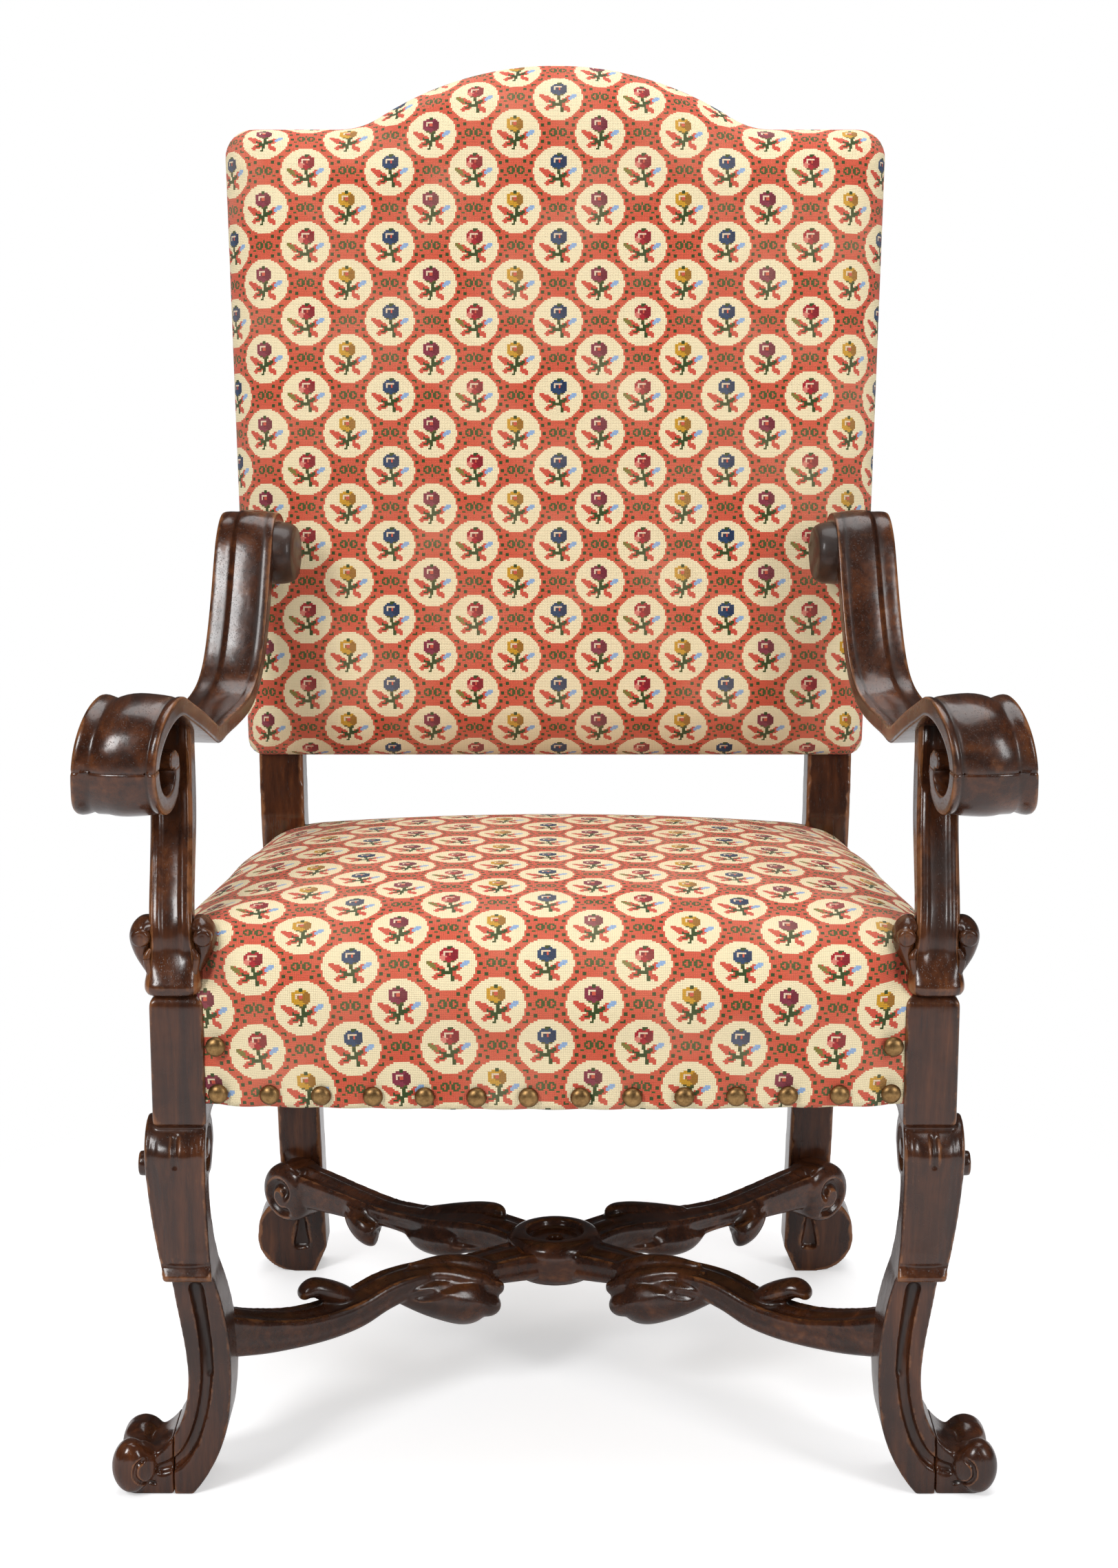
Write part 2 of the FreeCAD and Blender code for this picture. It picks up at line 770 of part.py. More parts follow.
def arm_and_hand_block():
    """The right arm, and the block glued under its front scroll."""
    ribbon, eye, eye_radius, underside = arm_ribbon()
    rear_core = roll_core((-d.rear_roll_radius * 0.3, arm_rear_height), d.rear_roll_radius * 0.8,
                          d.ribbon_rear_width - 2 * d.rear_core_recess)
    eye_core = roll_core(eye, eye_radius + d.eye_cover, d.ribbon_hand_width - 2 * d.eye_recess)
    whole = arm_placed(joined(ribbon, rear_core, eye_core))
    behind_hand = -d.arm_length + hand_outer + d.hand_clearance
    low_zone = box(V(-THROUGH, -THROUGH, -1), V(THROUGH, behind_hand, hand_height - d.hand_joint_drop))
    low_zone = arm_placed(low_zone)
    upper = sorted(whole.cut(low_zone).Solids, key=lambda solid: solid.Volume)
    hand_block = joined(whole.common(low_zone), *upper[:-1])
    arm = joined(upper[-1], arm_tenon(0))
    return arm, hand_block, underside


hand_y = d.arm_rear_y - d.arm_length * math.cos(splay)
neck_front = hand_y + hand_outer
support_x = block_x + d.support_shift


def underside_height(underside, y):
    """Height of the arm's underside at a depth of the chair."""
    elbow, hand = underside
    along = (y - d.arm_rear_y) / math.cos(splay)
    return elbow.z + (hand.z - elbow.z) * (along - elbow.y) / (hand.y - elbow.y)


def under_arm(underside):
    """All that lies under the line of the arm's underside, behind the hand's roll."""
    elbow, hand = underside
    slope = (hand.z - elbow.z) / (hand.y - elbow.y)
    far = -2 * d.arm_length
    near_top = V(0, 0, elbow.z - slope * elbow.y)
    far_top = V(0, far, elbow.z + slope * (far - elbow.y))
    face = polygon_face([V(0, 0, 0), near_top, far_top, V(0, far, 0)])
    face.translate(-ACROSS * (THROUGH / 2))
    roll = roll_core((-d.arm_length, hand_height), hand_outer + d.soft_clearance, THROUGH)
    return arm_placed(face.extrude(ACROSS * THROUGH).cut(roll))


def arm_support(underside):
    """The right arm support: a hollowed ribbon that rises from a roll and leans out to the arm."""
    def at(x, z):
        return V(x, 0, z)

    low = d.block_top
    high = hand_height + d.support_overrun
    neck_reach = hand_outer + d.support_neck
    neck_low = V(0, hand_y + neck_reach * math.cos(NECK_ANGLE),
                 hand_height - neck_reach * math.sin(NECK_ANGLE))
    neck_mid = V(0, hand_y + neck_reach, hand_height)
    neck_high = V(0, neck_mid.y + d.support_overrun * math.tan(NECK_ANGLE / 2), high)
    waist_z = (low + neck_low.z) / 2
    bow_z = (low + waist_z) / 2
    ease_z = low + d.support_foot_rise
    foot = d.support_foot_width / 2
    waist = d.support_width / 2
    head = d.support_top_width / 2
    lean = block_x + d.support_lean
    middle = support_x
    calf = foot - d.support_foot_ease
    front = [
        line(at(middle - foot, low), at(middle + foot, low)),
        curve(at(middle + foot, low), at(middle + calf, ease_z), at(middle + waist, waist_z),
              at(lean + head, high)),
        line(at(lean + head, high), at(lean - head, high)),
        curve(at(lean - head, high), at(middle - waist, waist_z), at(middle - calf, ease_z),
              at(middle - foot, low)),
    ]

    def profile(set_in):
        def side(y, z):
            return V(0, block_front + y, z)

        depth = d.support_depth
        forward = BACK * (set_in - depth)
        kick = side(set_in - d.support_foot_kick, low)
        bow = side(set_in + d.support_front_bow, bow_z)
        waist_front = side(set_in + d.support_waist_set, waist_z)
        waist_rear = side(d.support_waist_set + depth * WAIST_SHARE, waist_z)
        heel = side(depth, low)
        return [
            curve(kick, bow, waist_front, neck_low + forward, neck_mid + forward, neck_high + forward),
            line(neck_high + forward, neck_high),
            curve(neck_high, neck_mid, neck_low, waist_rear, heel),
            line(heel, kick),
        ]

    body = front_slab(front).common(side_slab(profile(0)))
    radius = d.support_roll_radius
    length = d.support_foot_width + 2 * d.support_roll_ear
    roll_end = V(middle + d.support_roll_shift - length / 2, block_front + d.support_roll_set + radius,
                 low + d.support_roll_lift + radius)
    roll = Part.makeCylinder(radius, length, roll_end, ACROSS)
    flute = d.support_width / 2 - d.support_rim
    start = low + d.support_channel_rise
    strip = front_slab([
        line(at(middle - flute, start), at(middle + flute, start)),
        line(at(middle + flute, start), at(lean + flute, high)),
        line(at(lean + flute, high), at(lean - flute, high)),
        line(at(lean - flute, high), at(middle - flute, start)),
    ])
    strip = strip.cut(side_slab(profile(d.support_channel)))
    support = joined(body, roll).cut(strip)
    return support.common(under_arm(underside))


def dowel(middle, room):
    """An upright dowel across a joint, with room all round for its hole."""
    length = d.dowel_length + 2 * room
    return Part.makeCylinder(d.dowel_diameter / 2 + room, length, middle - UP * (length / 2), UP)


def origin_plane(body, role):
    for feature in body.Origin.OriginFeatures:
        if feature.Role == role:
            return feature
    raise ValueError(role)


def new_sketch(body, name, role):
    sketch = body.newObject("Sketcher::SketchObject", name)
    sketch.AttachmentSupport = [(origin_plane(body, role), "")]
    sketch.MapMode = "FlatFace"
    return sketch


def name_last(sketch, constraint, name, expression):
    """Adds a constraint and binds it to an expression on the sheet."""
    index = sketch.addConstraint(constraint)
    sketch.renameConstraint(index, name)
    sketch.setExpression("Constraints." + name, expression)


def loop(sketch, points):
    """A closed run of lines through rough points, joined end to end."""
    count = len(points)
    for k in range(count):
        sketch.addGeometry(Part.LineSegment(points[k], points[(k + 1) % count]), False)
    for k in range(count):
        sketch.addConstraint(Sketcher.Constraint("Coincident", k, 2, (k + 1) % count, 1))


def centred_rectangle(body, name, role, width, height):
    """A rectangle about the body's origin."""
    sketch = new_sketch(body, name, role)
    half, rise = ROUGH_HALF, ROUGH_RISE
    loop(sketch, [V(-half, -rise, 0), V(half, -rise, 0), V(half, rise, 0), V(-half, rise, 0)])
    for k, direction in enumerate(("Horizontal", "Vertical", "Horizontal", "Vertical")):
        sketch.addConstraint(Sketcher.Constraint(direction, k))
    sketch.addConstraint(Sketcher.Constraint("Symmetric", 0, 1, 1, 2, -1, 1))
    name_last(sketch, Sketcher.Constraint("DistanceX", 0, 1, 0, 2, 2 * half), "across", width)
    name_last(sketch, Sketcher.Constraint("DistanceY", 1, 1, 1, 2, 2 * rise), "upright", height)
    return sketch


def standing_trapezoid(body, name, role, low_width, high_width, height):
    """A trapezoid that stands on the body's origin, even about its middle."""
    sketch = new_sketch(body, name, role)
    half, rise = ROUGH_HALF, ROUGH_RISE
    loop(sketch, [V(-half, 0, 0), V(half, 0, 0), V(half, rise, 0), V(-half, rise, 0)])
    sketch.addConstraint(Sketcher.Constraint("Horizontal", 0))
    sketch.addConstraint(Sketcher.Constraint("Symmetric", 0, 1, 0, 2, -1, 1))
    sketch.addConstraint(Sketcher.Constraint("Symmetric", 2, 1, 2, 2, -2))
    name_last(sketch, Sketcher.Constraint("DistanceX", 0, 1, 0, 2, 2 * half), "low", low_width)
    name_last(sketch, Sketcher.Constraint("DistanceX", 2, 2, 2, 1, 2 * half), "high", high_width)
    name_last(sketch, Sketcher.Constraint("DistanceY", 0, 2, 1, 2, rise), "upright", height)
    return sketch


def bowed_bar(body, name, role, rough, side, length, thick, bow):
    """A bar's outline with one straight long edge and one bowed; side -1 bows the low edge."""
    sketch = new_sketch(body, name, role)
    half, deep, rise = rough
    near, far = side * deep, -side * deep
    points = [V(half, near, 0), V(half, far, 0), V(-half, far, 0), V(-half, near, 0)]
    for a, b in zip(points, points[1:]):
        sketch.addGeometry(Part.LineSegment(a, b), False)
    ends = [points[3], points[0]] if side < 0 else [points[0], points[3]]
    sketch.addGeometry(Part.Arc(ends[0], V(0, side * (deep + rise), 0), ends[1]), False)
    for k in range(2):
        sketch.addConstraint(Sketcher.Constraint("Coincident", k, 2, k + 1, 1))
    sketch.addConstraint(Sketcher.Constraint("Coincident", 2, 2, 3, 1 if side < 0 else 2))
    sketch.addConstraint(Sketcher.Constraint("Coincident", 3, 2 if side < 0 else 1, 0, 1))
    sketch.addConstraint(Sketcher.Constraint("Vertical", 0))
    sketch.addConstraint(Sketcher.Constraint("Vertical", 2))
    sketch.addConstraint(Sketcher.Constraint("Symmetric", 0, 1, 1, 2, -1, 1))
    name_last(sketch, Sketcher.Constraint("DistanceX", 1, 2, 1, 1, 2 * half), "long", length)
    upright = (0, 1, 0, 2) if side < 0 else (0, 2, 0, 1)
    name_last(sketch, Sketcher.Constraint("DistanceY", *upright, 2 * deep), "thick", thick)
    radius = (half ** 2 + rise ** 2) / (2 * rise)
    bow_radius = f"(({length})^2 / 4 + ({bow})^2) / (2 * ({bow}))"
    name_last(sketch, Sketcher.Constraint("Radius", 3, radius), "bow", bow_radius)
    return sketch


def pad(body, name, sketch, length, midplane=True, backwards=False):
    feature = body.newObject("PartDesign::Pad", name)
    feature.Profile = sketch
    feature.setExpression("Length", length)
    feature.Midplane = midplane
    feature.Reversed = backwards
    return feature


def new_body(label):
    body = doc.addObject("PartDesign::Body", label)
    body.Label = label
    return body


def place(piece, x="0", y="0", z="0"):
    for axis, expression in zip("xyz", (x, y, z)):
        piece.setExpression(f".Placement.Base.{axis}", expression)


S = "<<sizes>>."
TENON_HEIGHT = f"{S}rail_height - 2 * {S}tenon_shoulder"
tenon_height = d.rail_height - 2 * d.tenon_shoulder
BACK_TENON = f"{S}back_rail_height - 2 * {S}tenon_shoulder"


def front_seat_rail():
    """The front rail: straight behind, bowed in front, with a tenon into each block."""
    body = new_body("front_rail_blank")
    length = f"({S}front_span - {S}block_width)"
    rough = (block_inner, d.rail_thickness / 2, d.rail_bow)
    plan = bowed_bar(body, "front_rail_plan", "XY_Plane", rough, -1, length,
                     f"{S}rail_thickness", f"{S}rail_bow")
    pad(body, "front_rail", plan, f"{S}rail_height")
    tenon = centred_rectangle(body, "front_rail_tenon_end", "YZ_Plane", f"{S}tenon_thickness", TENON_HEIGHT)
    pad(body, "front_rail_tenons", tenon, f"{length} + 2 * {S}tenon_length")
    place(body, y=f"-{S}front_face + {S}rail_setback + {S}rail_thickness / 2",
          z=f"{S}rail_top - {S}rail_height / 2")
    return body


def rear_seat_rail():
    """The rear rail: its shoulders follow the splay of the posts."""
    body = new_body("rear_seat_rail")
    pieces.append(body)
    low = f"2 * ({S}rear_floor_half - {S}post_width + {S}post_splay * ({S}rail_top - {S}rail_height))"
    high = f"2 * ({S}rear_floor_half - {S}post_width + {S}post_splay * {S}rail_top)"
    face = standing_trapezoid(body, "rear_rail_face", "XZ_Plane", low, high, f"{S}rail_height")
    pad(body, "rear_rail", face, f"{S}rail_thickness")
    tenon = new_tenon(body, "rear_rail", f"{S}tenon_shoulder", TENON_HEIGHT)
    pad(body, "rear_rail_tenons", tenon, f"{low} + 2 * {S}tenon_length")
    place(body, y=rear_rail_y_expression(), z=f"{S}rail_top - {S}rail_height")
    return body


def rear_rail_y_expression():
    lean = f"({S}rear_foot_face - {S}rear_seat_face) / {S}bend_height"
    middle = f"({S}rail_top - {S}rail_height / 2)"
    return f"{S}rear_foot_face - {lean} * {middle} + {S}post_depth - {S}rail_thickness / 2 - {S}rail_setback"


def new_tenon(body, name, lift, height):
    """The end of a through tenon, above the body's origin by a shoulder."""
    sketch = new_sketch(body, name + "_tenon_end", "YZ_Plane")
    half, low, high = ROUGH_HALF, ROUGH_RISE, 2 * ROUGH_RISE
    loop(sketch, [V(-half, low, 0), V(half, low, 0), V(half, high, 0), V(-half, high, 0)])
    for k, direction in enumerate(("Vertical", "Horizontal", "Vertical"), start=1):
        sketch.addConstraint(Sketcher.Constraint(direction, k))
    sketch.addConstraint(Sketcher.Constraint("Symmetric", 0, 1, 0, 2, -2))
    name_last(sketch, Sketcher.Constraint("DistanceX", 0, 1, 0, 2, 2 * half), "thick", f"{S}tenon_thickness")
    name_last(sketch, Sketcher.Constraint("DistanceY", -1, 1, 0, 1, low), "lift", lift)
    name_last(sketch, Sketcher.Constraint("DistanceY", 1, 1, 1, 2, high - low), "upright", height)
    return sketch


def post_inner_on_back(w):
    """Half the clear width between the posts at a distance W up the back."""
    return post_inner(d.bend_height + w * math.cos(rake))


def lower_back_rail():
    """The rail across the foot of the back, in the rake of the posts, and the mortises for its tenons."""
    body = new_body("lower_back_rail")
    pieces.append(body)
    low_w = back_low + d.back_rail_lift
    depth = post_thickness - d.back_rail_thickness / 2
    spot = on_back(0, low_w, depth)

    def between_posts(lift):
        height = f"({spot.z} + {lift} * cos({S}back_rake))"
        return f"2 * ({S}rear_floor_half - {S}post_width + {S}post_splay * {height} - {S}joint_clearance)"

    face = standing_trapezoid(body, "lower_back_face", "XZ_Plane", between_posts("0"),
                              between_posts(f"{S}back_rail_height"), f"{S}back_rail_height")
    pad(body, "lower_back_bar", face, f"{S}back_rail_thickness")
    tenon = new_tenon(body, "lower_back", f"{S}tenon_shoulder", BACK_TENON)
    pad(body, "lower_back_tenons", tenon, f"{between_posts('0')} + 2 * {S}tenon_length")
    body.Placement = FreeCAD.Placement(spot, FreeCAD.Rotation(ACROSS, -d.back_rake))
    return body, tenon_space(body, post_inner(spot.z), d.back_rail_height - 2 * d.tenon_shoulder)


def crest_rail():
    """The arched rail at the top of the back with its tenons, and the mortises for them."""
    front = post_thickness
    rear = front - d.back_rail_thickness
    low = shoulder_w - d.cover_thickness - d.back_rail_lift - d.back_rail_height
    inner = post_inner_on_back(low)
    arched = Part.Face(back_outline(1 - d.crest_inset / (back_high - back_middle), rear))
    arched = arched.extrude(back_forward * d.back_rail_thickness)
    outer = post_inner_on_back(back_high)
    between = back_slab([(-inner, low), (inner, low), (outer, back_high), (-outer, back_high)], rear, front)
    bar = arched.common(between)
    middle = (front + rear) / 2

    def tenons(room):
        reach = inner + d.tenon_length + room
        half = d.tenon_thickness / 2 + room
        lift = d.tenon_shoulder - room
        high = low + d.back_rail_height - lift
        return back_box(-reach, reach, low + lift, high, middle - half, middle + half)

    return joined(bar, tenons(0)), tenons(d.joint_clearance)


def tenon_space(body, half_length, height, lift=d.tenon_shoulder):
    """Mortises for a rail's two tenons, with the joint's clearance all round."""
    room = d.joint_clearance
    half = d.tenon_thickness / 2
    reach = half_length + d.tenon_length
    space = grown(V(-reach, -half, lift), V(reach, half, lift + height), room)
    space.Placement = body.Placement
    return space


def side_rail():
    """The right side rail, scribed to the block and to the leaning post, and its tenons' mortises."""
    start = V(block_outer - d.rail_setback - d.rail_thickness / 2, block_rear, rail_low)
    stop_x = post_outer(d.rail_top) - d.rail_setback - d.rail_thickness / 2
    stop = V(stop_x, post_face(rail_low), rail_low)
    run = stop - start
    turn = math.degrees(math.atan2(-run.x, run.y))
    spare = d.rail_thickness

    def bar(half, low, high, before, after):
        solid = box(V(-half, -before, low), V(half, run.Length + after, high))
        solid.rotate(ORIGIN, UP, turn)
        solid.translate(start)
        return solid

    def tenons(room):
        return bar(d.tenon_thickness / 2 + room, d.tenon_shoulder - room,
                   d.rail_height - d.tenon_shoulder + room, d.tenon_length + room, d.stub_tenon_length + room)

    rail = bar(d.rail_thickness / 2, 0, d.rail_height, spare, spare)
    rail = rail.cut(box(V(0, -THROUGH, -1), V(THROUGH, block_rear, THROUGH))).cut(post_side_slab(0, 0))
    return joined(rail, tenons(0)), tenons(d.joint_clearance)


def post_side_slab(room, inner_x):
    """All that lies behind the posts' front face from inner_x outwards, with room in front of it."""
    def side(y, z):
        return V(inner_x, y - room, z)

    top = d.back_top
    points = [side(post_face(0), 0), side(post_face(d.bend_height), d.bend_height), side(post_face(top), top),
              side(THROUGH, top), side(THROUGH, 0)]
    return polygon_face(points).extrude(ACROSS * THROUGH)


def stretcher_bar(target, outline):
    """An upright bar from the boss towards a target, from its side outline along the bar."""
    turn = math.degrees(math.atan2(target.y - d.boss_y, target.x))
    face = closed_face(outline)
    face.translate(-BACK * (d.stretcher_width / 2))
    return turn, face.extrude(BACK * d.stretcher_width)


def set_out(shape, turn):
    placed = shape.copy()
    placed.rotate(ORIGIN, UP, turn)
    placed.translate(V(0, d.boss_y, 0))
    return placed


def pod(length, radius):
    """An egg-shaped pod along X: half an ellipse spun about its long axis."""
    half = length / 2
    profile = Part.ArcOfEllipse(Part.Ellipse(V(half, 0, 0), V(0, 0, radius), ORIGIN), 0, math.pi).toShape()
    return turned([profile, line(V(-half, 0, 0), V(half, 0, 0))], ORIGIN, ACROSS)


shin_middle = block_x + d.shin_shift
tenon_middle = (d.stretcher_top + d.stretcher_bottom) / 2


def front_stretcher_tenon(room):
    half = d.tenon_thickness / 2
    rise = d.stretcher_tenon_height / 2
    return grown(V(shin_middle - half, block_front + d.leg_depth - d.tenon_length, tenon_middle - rise),
                 V(shin_middle + half, block_front + d.leg_depth + d.tenon_length, tenon_middle + rise), room)


rear_end = V(post_outer(tenon_middle) - d.post_width / 2 + d.volute_shift, post_face(tenon_middle), 0)


def rear_stretcher_tenon(room):
    half = d.tenon_thickness / 2
    rise = d.stretcher_tenon_height / 2
    x = rear_end.x - d.volute_shift
    return grown(V(x - half, rear_end.y - d.tenon_length, tenon_middle - rise),
                 V(x + half, rear_end.y + d.tenon_length, tenon_middle + rise), room)


def front_stretcher_arm():
    """The bar from the boss to the right front leg, with the carved pod that hangs under it."""
    end = V(shin_middle, block_front + d.leg_depth, 0)
    reach = math.hypot(end.x, end.y - d.boss_y)
    top = d.stretcher_top
    low = d.stretcher_bottom

    def at(share, z):
        return V(reach * share, 0, z)

    upper = [at(share, top + rise) for share, rise in FRONT_BAR_TOP]
    under = [at(share, low + rise) for share, rise in FRONT_BAR_LOW]
    outline = [curve(*upper), line(upper[-1], under[0]), curve(*under), line(under[-1], upper[0])]
    turn, bar = stretcher_bar(end, outline)
    leaf = pod(d.pod_length, d.pod_radius)
    leaf.rotate(ORIGIN, BACK, -d.pod_tilt)
    leaf.translate(V(d.pod_distance, 0, low + d.pod_lift))
    arm = set_out(joined(bar, leaf), turn)
    arm = arm.cut(side_slab(foot_profile(0)))
    return joined(arm, front_stretcher_tenon(0))


def rear_stretcher_arm():
    """The bar from the boss to the right rear post: a leaf, a bud and a volute against the post."""
    reach = math.hypot(rear_end.x, rear_end.y - d.boss_y)
    top = d.stretcher_top
    low = d.stretcher_bottom
    roll = d.volute_radius

    def at(share, z):
        return V(reach * share, 0, z)

    roll_low = low - d.volute_drop
    upper = [at(share, top + rise) for share, rise in REAR_BAR_TOP]
    upper.append(at(REAR_VOLUTE_SHARE, roll_low + 2 * roll))
    under = [at(share, low + rise) for share, rise in REAR_BAR_LOW]
    under.insert(0, at(REAR_VOLUTE_SHARE, roll_low))
    outline = [curve(*upper), line(upper[-1], under[0]), curve(*under), line(under[-1], upper[0])]
    turn, bar = stretcher_bar(rear_end, outline)
    roll_end = at(REAR_VOLUTE_SHARE, roll_low + roll) - BACK * (d.stretcher_width / 2)
    volute = Part.makeCylinder(roll, d.stretcher_width, roll_end, BACK)
    bud = pod(d.bud_length, d.bud_radius)
    bud.translate(at(REAR_BUD_SHARE, low + d.bud_lift))
    arm = set_out(joined(bar, volute, bud), turn).cut(post_side_slab(0, 0))
    return joined(arm, rear_stretcher_tenon(0))


def boss():
    """The turned boss at the crossing, dished on top for a finial."""
    axis = V(0, d.boss_y, 0)

    def at(r, z):
        return axis + V(r, 0, z)

    floor = d.boss_top - d.dish_depth
    foot = at(d.boss_radius - d.boss_foot_inset, d.boss_bottom)
    belly = at(d.boss_radius - d.boss_belly, (d.boss_bottom + floor) / 2 - d.boss_shoulder)
    shoulder = at(d.boss_radius, floor - d.boss_shoulder)
    rounding = at(d.boss_radius - d.boss_round, floor + d.dish_taper)
    rim = at(d.dish_radius + d.dish_rim, d.boss_top)
    lip = at(d.dish_radius, d.boss_top)
    dish = at(d.dish_radius - d.dish_taper, floor)
    edges = [
        line(at(0, d.boss_bottom), foot),
        arc(foot, belly, shoulder),
        arc(shoulder, rounding, rim),
        line(rim, lip),
        line(lip, dish),
        line(dish, at(0, floor)),
        line(at(0, floor), at(0, d.boss_bottom)),
    ]
    return turned(edges, axis, UP)


def stretchers():
    """Two diagonals halved over each other at the boss, which the upper one carries on top."""
    front = front_stretcher_arm()
    rear = rear_stretcher_arm()
    middle = (d.boss_top - d.dish_depth + d.boss_bottom) / 2
    axis = V(0, d.boss_y, 0)
    hub = boss()
    bore = Part.makeCylinder(d.finial_bore, d.finial_bore_depth,
                             axis + UP * (d.boss_top - d.dish_depth - d.finial_bore_depth), UP)
    dish = Part.makeCylinder(d.dish_radius, THROUGH, axis + UP * (d.boss_top - d.dish_depth), UP)
    under = Part.makeCylinder(d.lap_radius, THROUGH, axis + UP * (middle - THROUGH), UP)
    over = Part.makeCylinder(d.lap_radius + d.joint_clearance, THROUGH, axis + UP * middle, UP)
    upper = joined(front, mirrored(rear), hub).cut([under, bore, dish])
    lower = joined(mirrored(front), rear, hub).cut([over, bore])
    return upper, lower


back_middle = (back_low + back_high) / 2
back_half_low = post_outer(d.back_bottom) + d.back_side_low
back_half_high = post_outer(post_top) + d.back_side_high


def back_outline(scale, n):
    """The back's outline at a depth N: straight sides, round corners and an arched crest."""
    r = d.back_corner
    foot = r * 0.6
    angle = crest_angle
    scoop_x = (d.crest_radius + d.scoop_radius) * math.sin(angle)

    def at(x, w):
        return on_back(x * scale, back_middle + (w - back_middle) * scale, n)

    def round_corner(x, w, radius, side, up):
        dip = radius * (1 - math.sqrt(0.5))
        return [at(x, w - up * radius), at(x - side * dip, w - up * dip), at(x - side * radius, w)]

    def crest(angle_from_top):
        return at(d.crest_radius * math.sin(angle_from_top),
                  back_high - d.crest_radius * (1 - math.cos(angle_from_top)))

    def scoop(side, share):
        turn = angle * share
        return at(side * (scoop_x - d.scoop_radius * math.sin(turn)),
                  shoulder_w + d.scoop_radius * (1 - math.cos(turn)))

    low_right = round_corner(back_half_low, back_low, foot, 1, -1)
    low_left = round_corner(-back_half_low, back_low, foot, -1, -1)
    high_right = round_corner(back_half_high, shoulder_w, r, 1, 1)
    high_left = round_corner(-back_half_high, shoulder_w, r, -1, 1)
    return Part.Wire([
        line(low_left[2], low_right[2]),
        arc(low_right[2], low_right[1], low_right[0]),
        line(low_right[0], high_right[0]),
        arc(*high_right),
        line(high_right[2], scoop(1, 0)),
        arc(scoop(1, 0), scoop(1, 0.5), scoop(1, 1)),
        arc(crest(angle), crest(0), crest(-angle)),
        arc(scoop(-1, 1), scoop(-1, 0.5), scoop(-1, 0)),
        line(scoop(-1, 0), high_left[2]),
        arc(high_left[2], high_left[1], high_left[0]),
        line(high_left[0], low_left[0]),
        arc(low_left[0], low_left[1], low_left[2]),
    ])


def back_form(inset):
    """The padded back: sides that swell, a rounded front edge and a crowned front."""
    front = post_thickness + d.back_padding
    levels = [(0, REAR_EDGE_SCALE), (post_thickness / 2, 1)]
    levels += [(post_thickness + d.back_padding * share, scale) for share, scale in BACK_SWELL]
    wires = [back_outline(scale - inset / back_half_low, n * (1 - inset / front)) for n, scale in levels]
    return Part.makeLoft(wires, True, True)


def behind_back(n):
    """All that lies behind a depth N of the back."""
    half = THROUGH / 2
    corners = [(-half, -half), (half, -half), (half, half), (-half, half)]
    points = [on_back(x, w, n) for x, w in corners]
    return polygon_face(points).extrude(-back_forward * THROUGH)


STRAP_COUNT = 5
web_n = post_thickness + d.soft_clearance
hessian_n = web_n + 2 * (d.strap_thickness + d.soft_clearance)
stuffing_n = hessian_n + d.hessian_thickness + d.soft_clearance


def back_slab(corners, n_low, n_high):
    """A slab in the back's frame, from its corners across and up, between two depths."""
    face = polygon_face([on_back(x, w, n_low) for x, w in corners])
    return face.extrude(back_forward * (n_high - n_low))


def back_box(x_low, x_high, w_low, w_high, n_low, n_high):
    return back_slab([(x_low, w_low), (x_high, w_low), (x_high, w_high), (x_low, w_high)], n_low, n_high)


def spread(count, low, high):
    """Evenly spaced places from low to high."""
    return [low + (high - low) * k / (count - 1) for k in range(count)]


def back_straps():
    """Webbing across the back: upright straps, and level ones laid over them."""
    half = d.strap_width / 2
    low = back_low + d.back_rail_lift
    high = shoulder_w - d.back_rail_lift
    side = post_outer(d.back_bottom) - d.strap_inset
    margin = half + d.strap_margin
    edge = side - d.post_width - margin
    over = web_n + d.strap_thickness + d.soft_clearance
    upright = [back_box(x - half, x + half, low, high, web_n, web_n + d.strap_thickness)
               for x in spread(STRAP_COUNT, -edge, edge)]
    level = [back_box(-side, side, w - half, w + half, over, over + d.strap_thickness)
             for w in spread(STRAP_COUNT, low + margin, high - margin)]
    return Part.makeCompound(upright + level)


seat_front = block_front
seat_rear = post_face(d.rail_top) + d.post_depth + d.seat_rear_overhang
seat_half_front = block_outer + d.seat_side_bulge
seat_half_rear = post_outer(d.rail_top) + d.seat_rear_overhang
seat_middle = (seat_front + seat_rear) / 2
seat_bow_radius = (seat_half_front ** 2 + d.rail_bow ** 2) / (2 * d.rail_bow)


def seat_half(y):
    """Half the seat's width at a depth."""
    share = (y - seat_front) / (seat_rear - seat_front)
    return seat_half_front + (seat_half_rear - seat_half_front) * share


def seat_front_at(x):
    """Y of the seat's bowed front edge."""
    return seat_front - d.rail_bow + seat_bow_radius - math.sqrt(seat_bow_radius ** 2 - x ** 2)


def mirrored_point(point):
    return V(-point.x, point.y, point.z)


def seat_outline(scale, z):
    """The seat in plan: a bowed front, sides that close towards the back, and a straight rear."""
    r = d.back_corner

    def at(x, y):
        return V(x * scale, seat_middle + (y - seat_middle) * scale, z)

    front_x = seat_half(seat_front + r)
    front_in = seat_half_front - r
    rear_x = seat_half(seat_rear - r)
    dip = r * (1 - math.sqrt(0.5))
    corner = at(front_in, seat_front_at(front_in))
    edges = [arc(mirrored_point(corner), at(0, seat_front - d.rail_bow), corner)]
    right = [
        arc(corner, at(front_x - dip, seat_front + dip), at(front_x, seat_front + r)),
        line(at(front_x, seat_front + r), at(rear_x, seat_rear - r)),
        arc(at(rear_x, seat_rear - r), at(rear_x - dip, seat_rear - dip), at(rear_x - r, seat_rear)),
        line(at(rear_x - r, seat_rear), at(0, seat_rear)),
    ]
    left = [mirrored(edge) for edge in right]
    return Part.Wire(Part.__sortEdges__(edges + right + left))


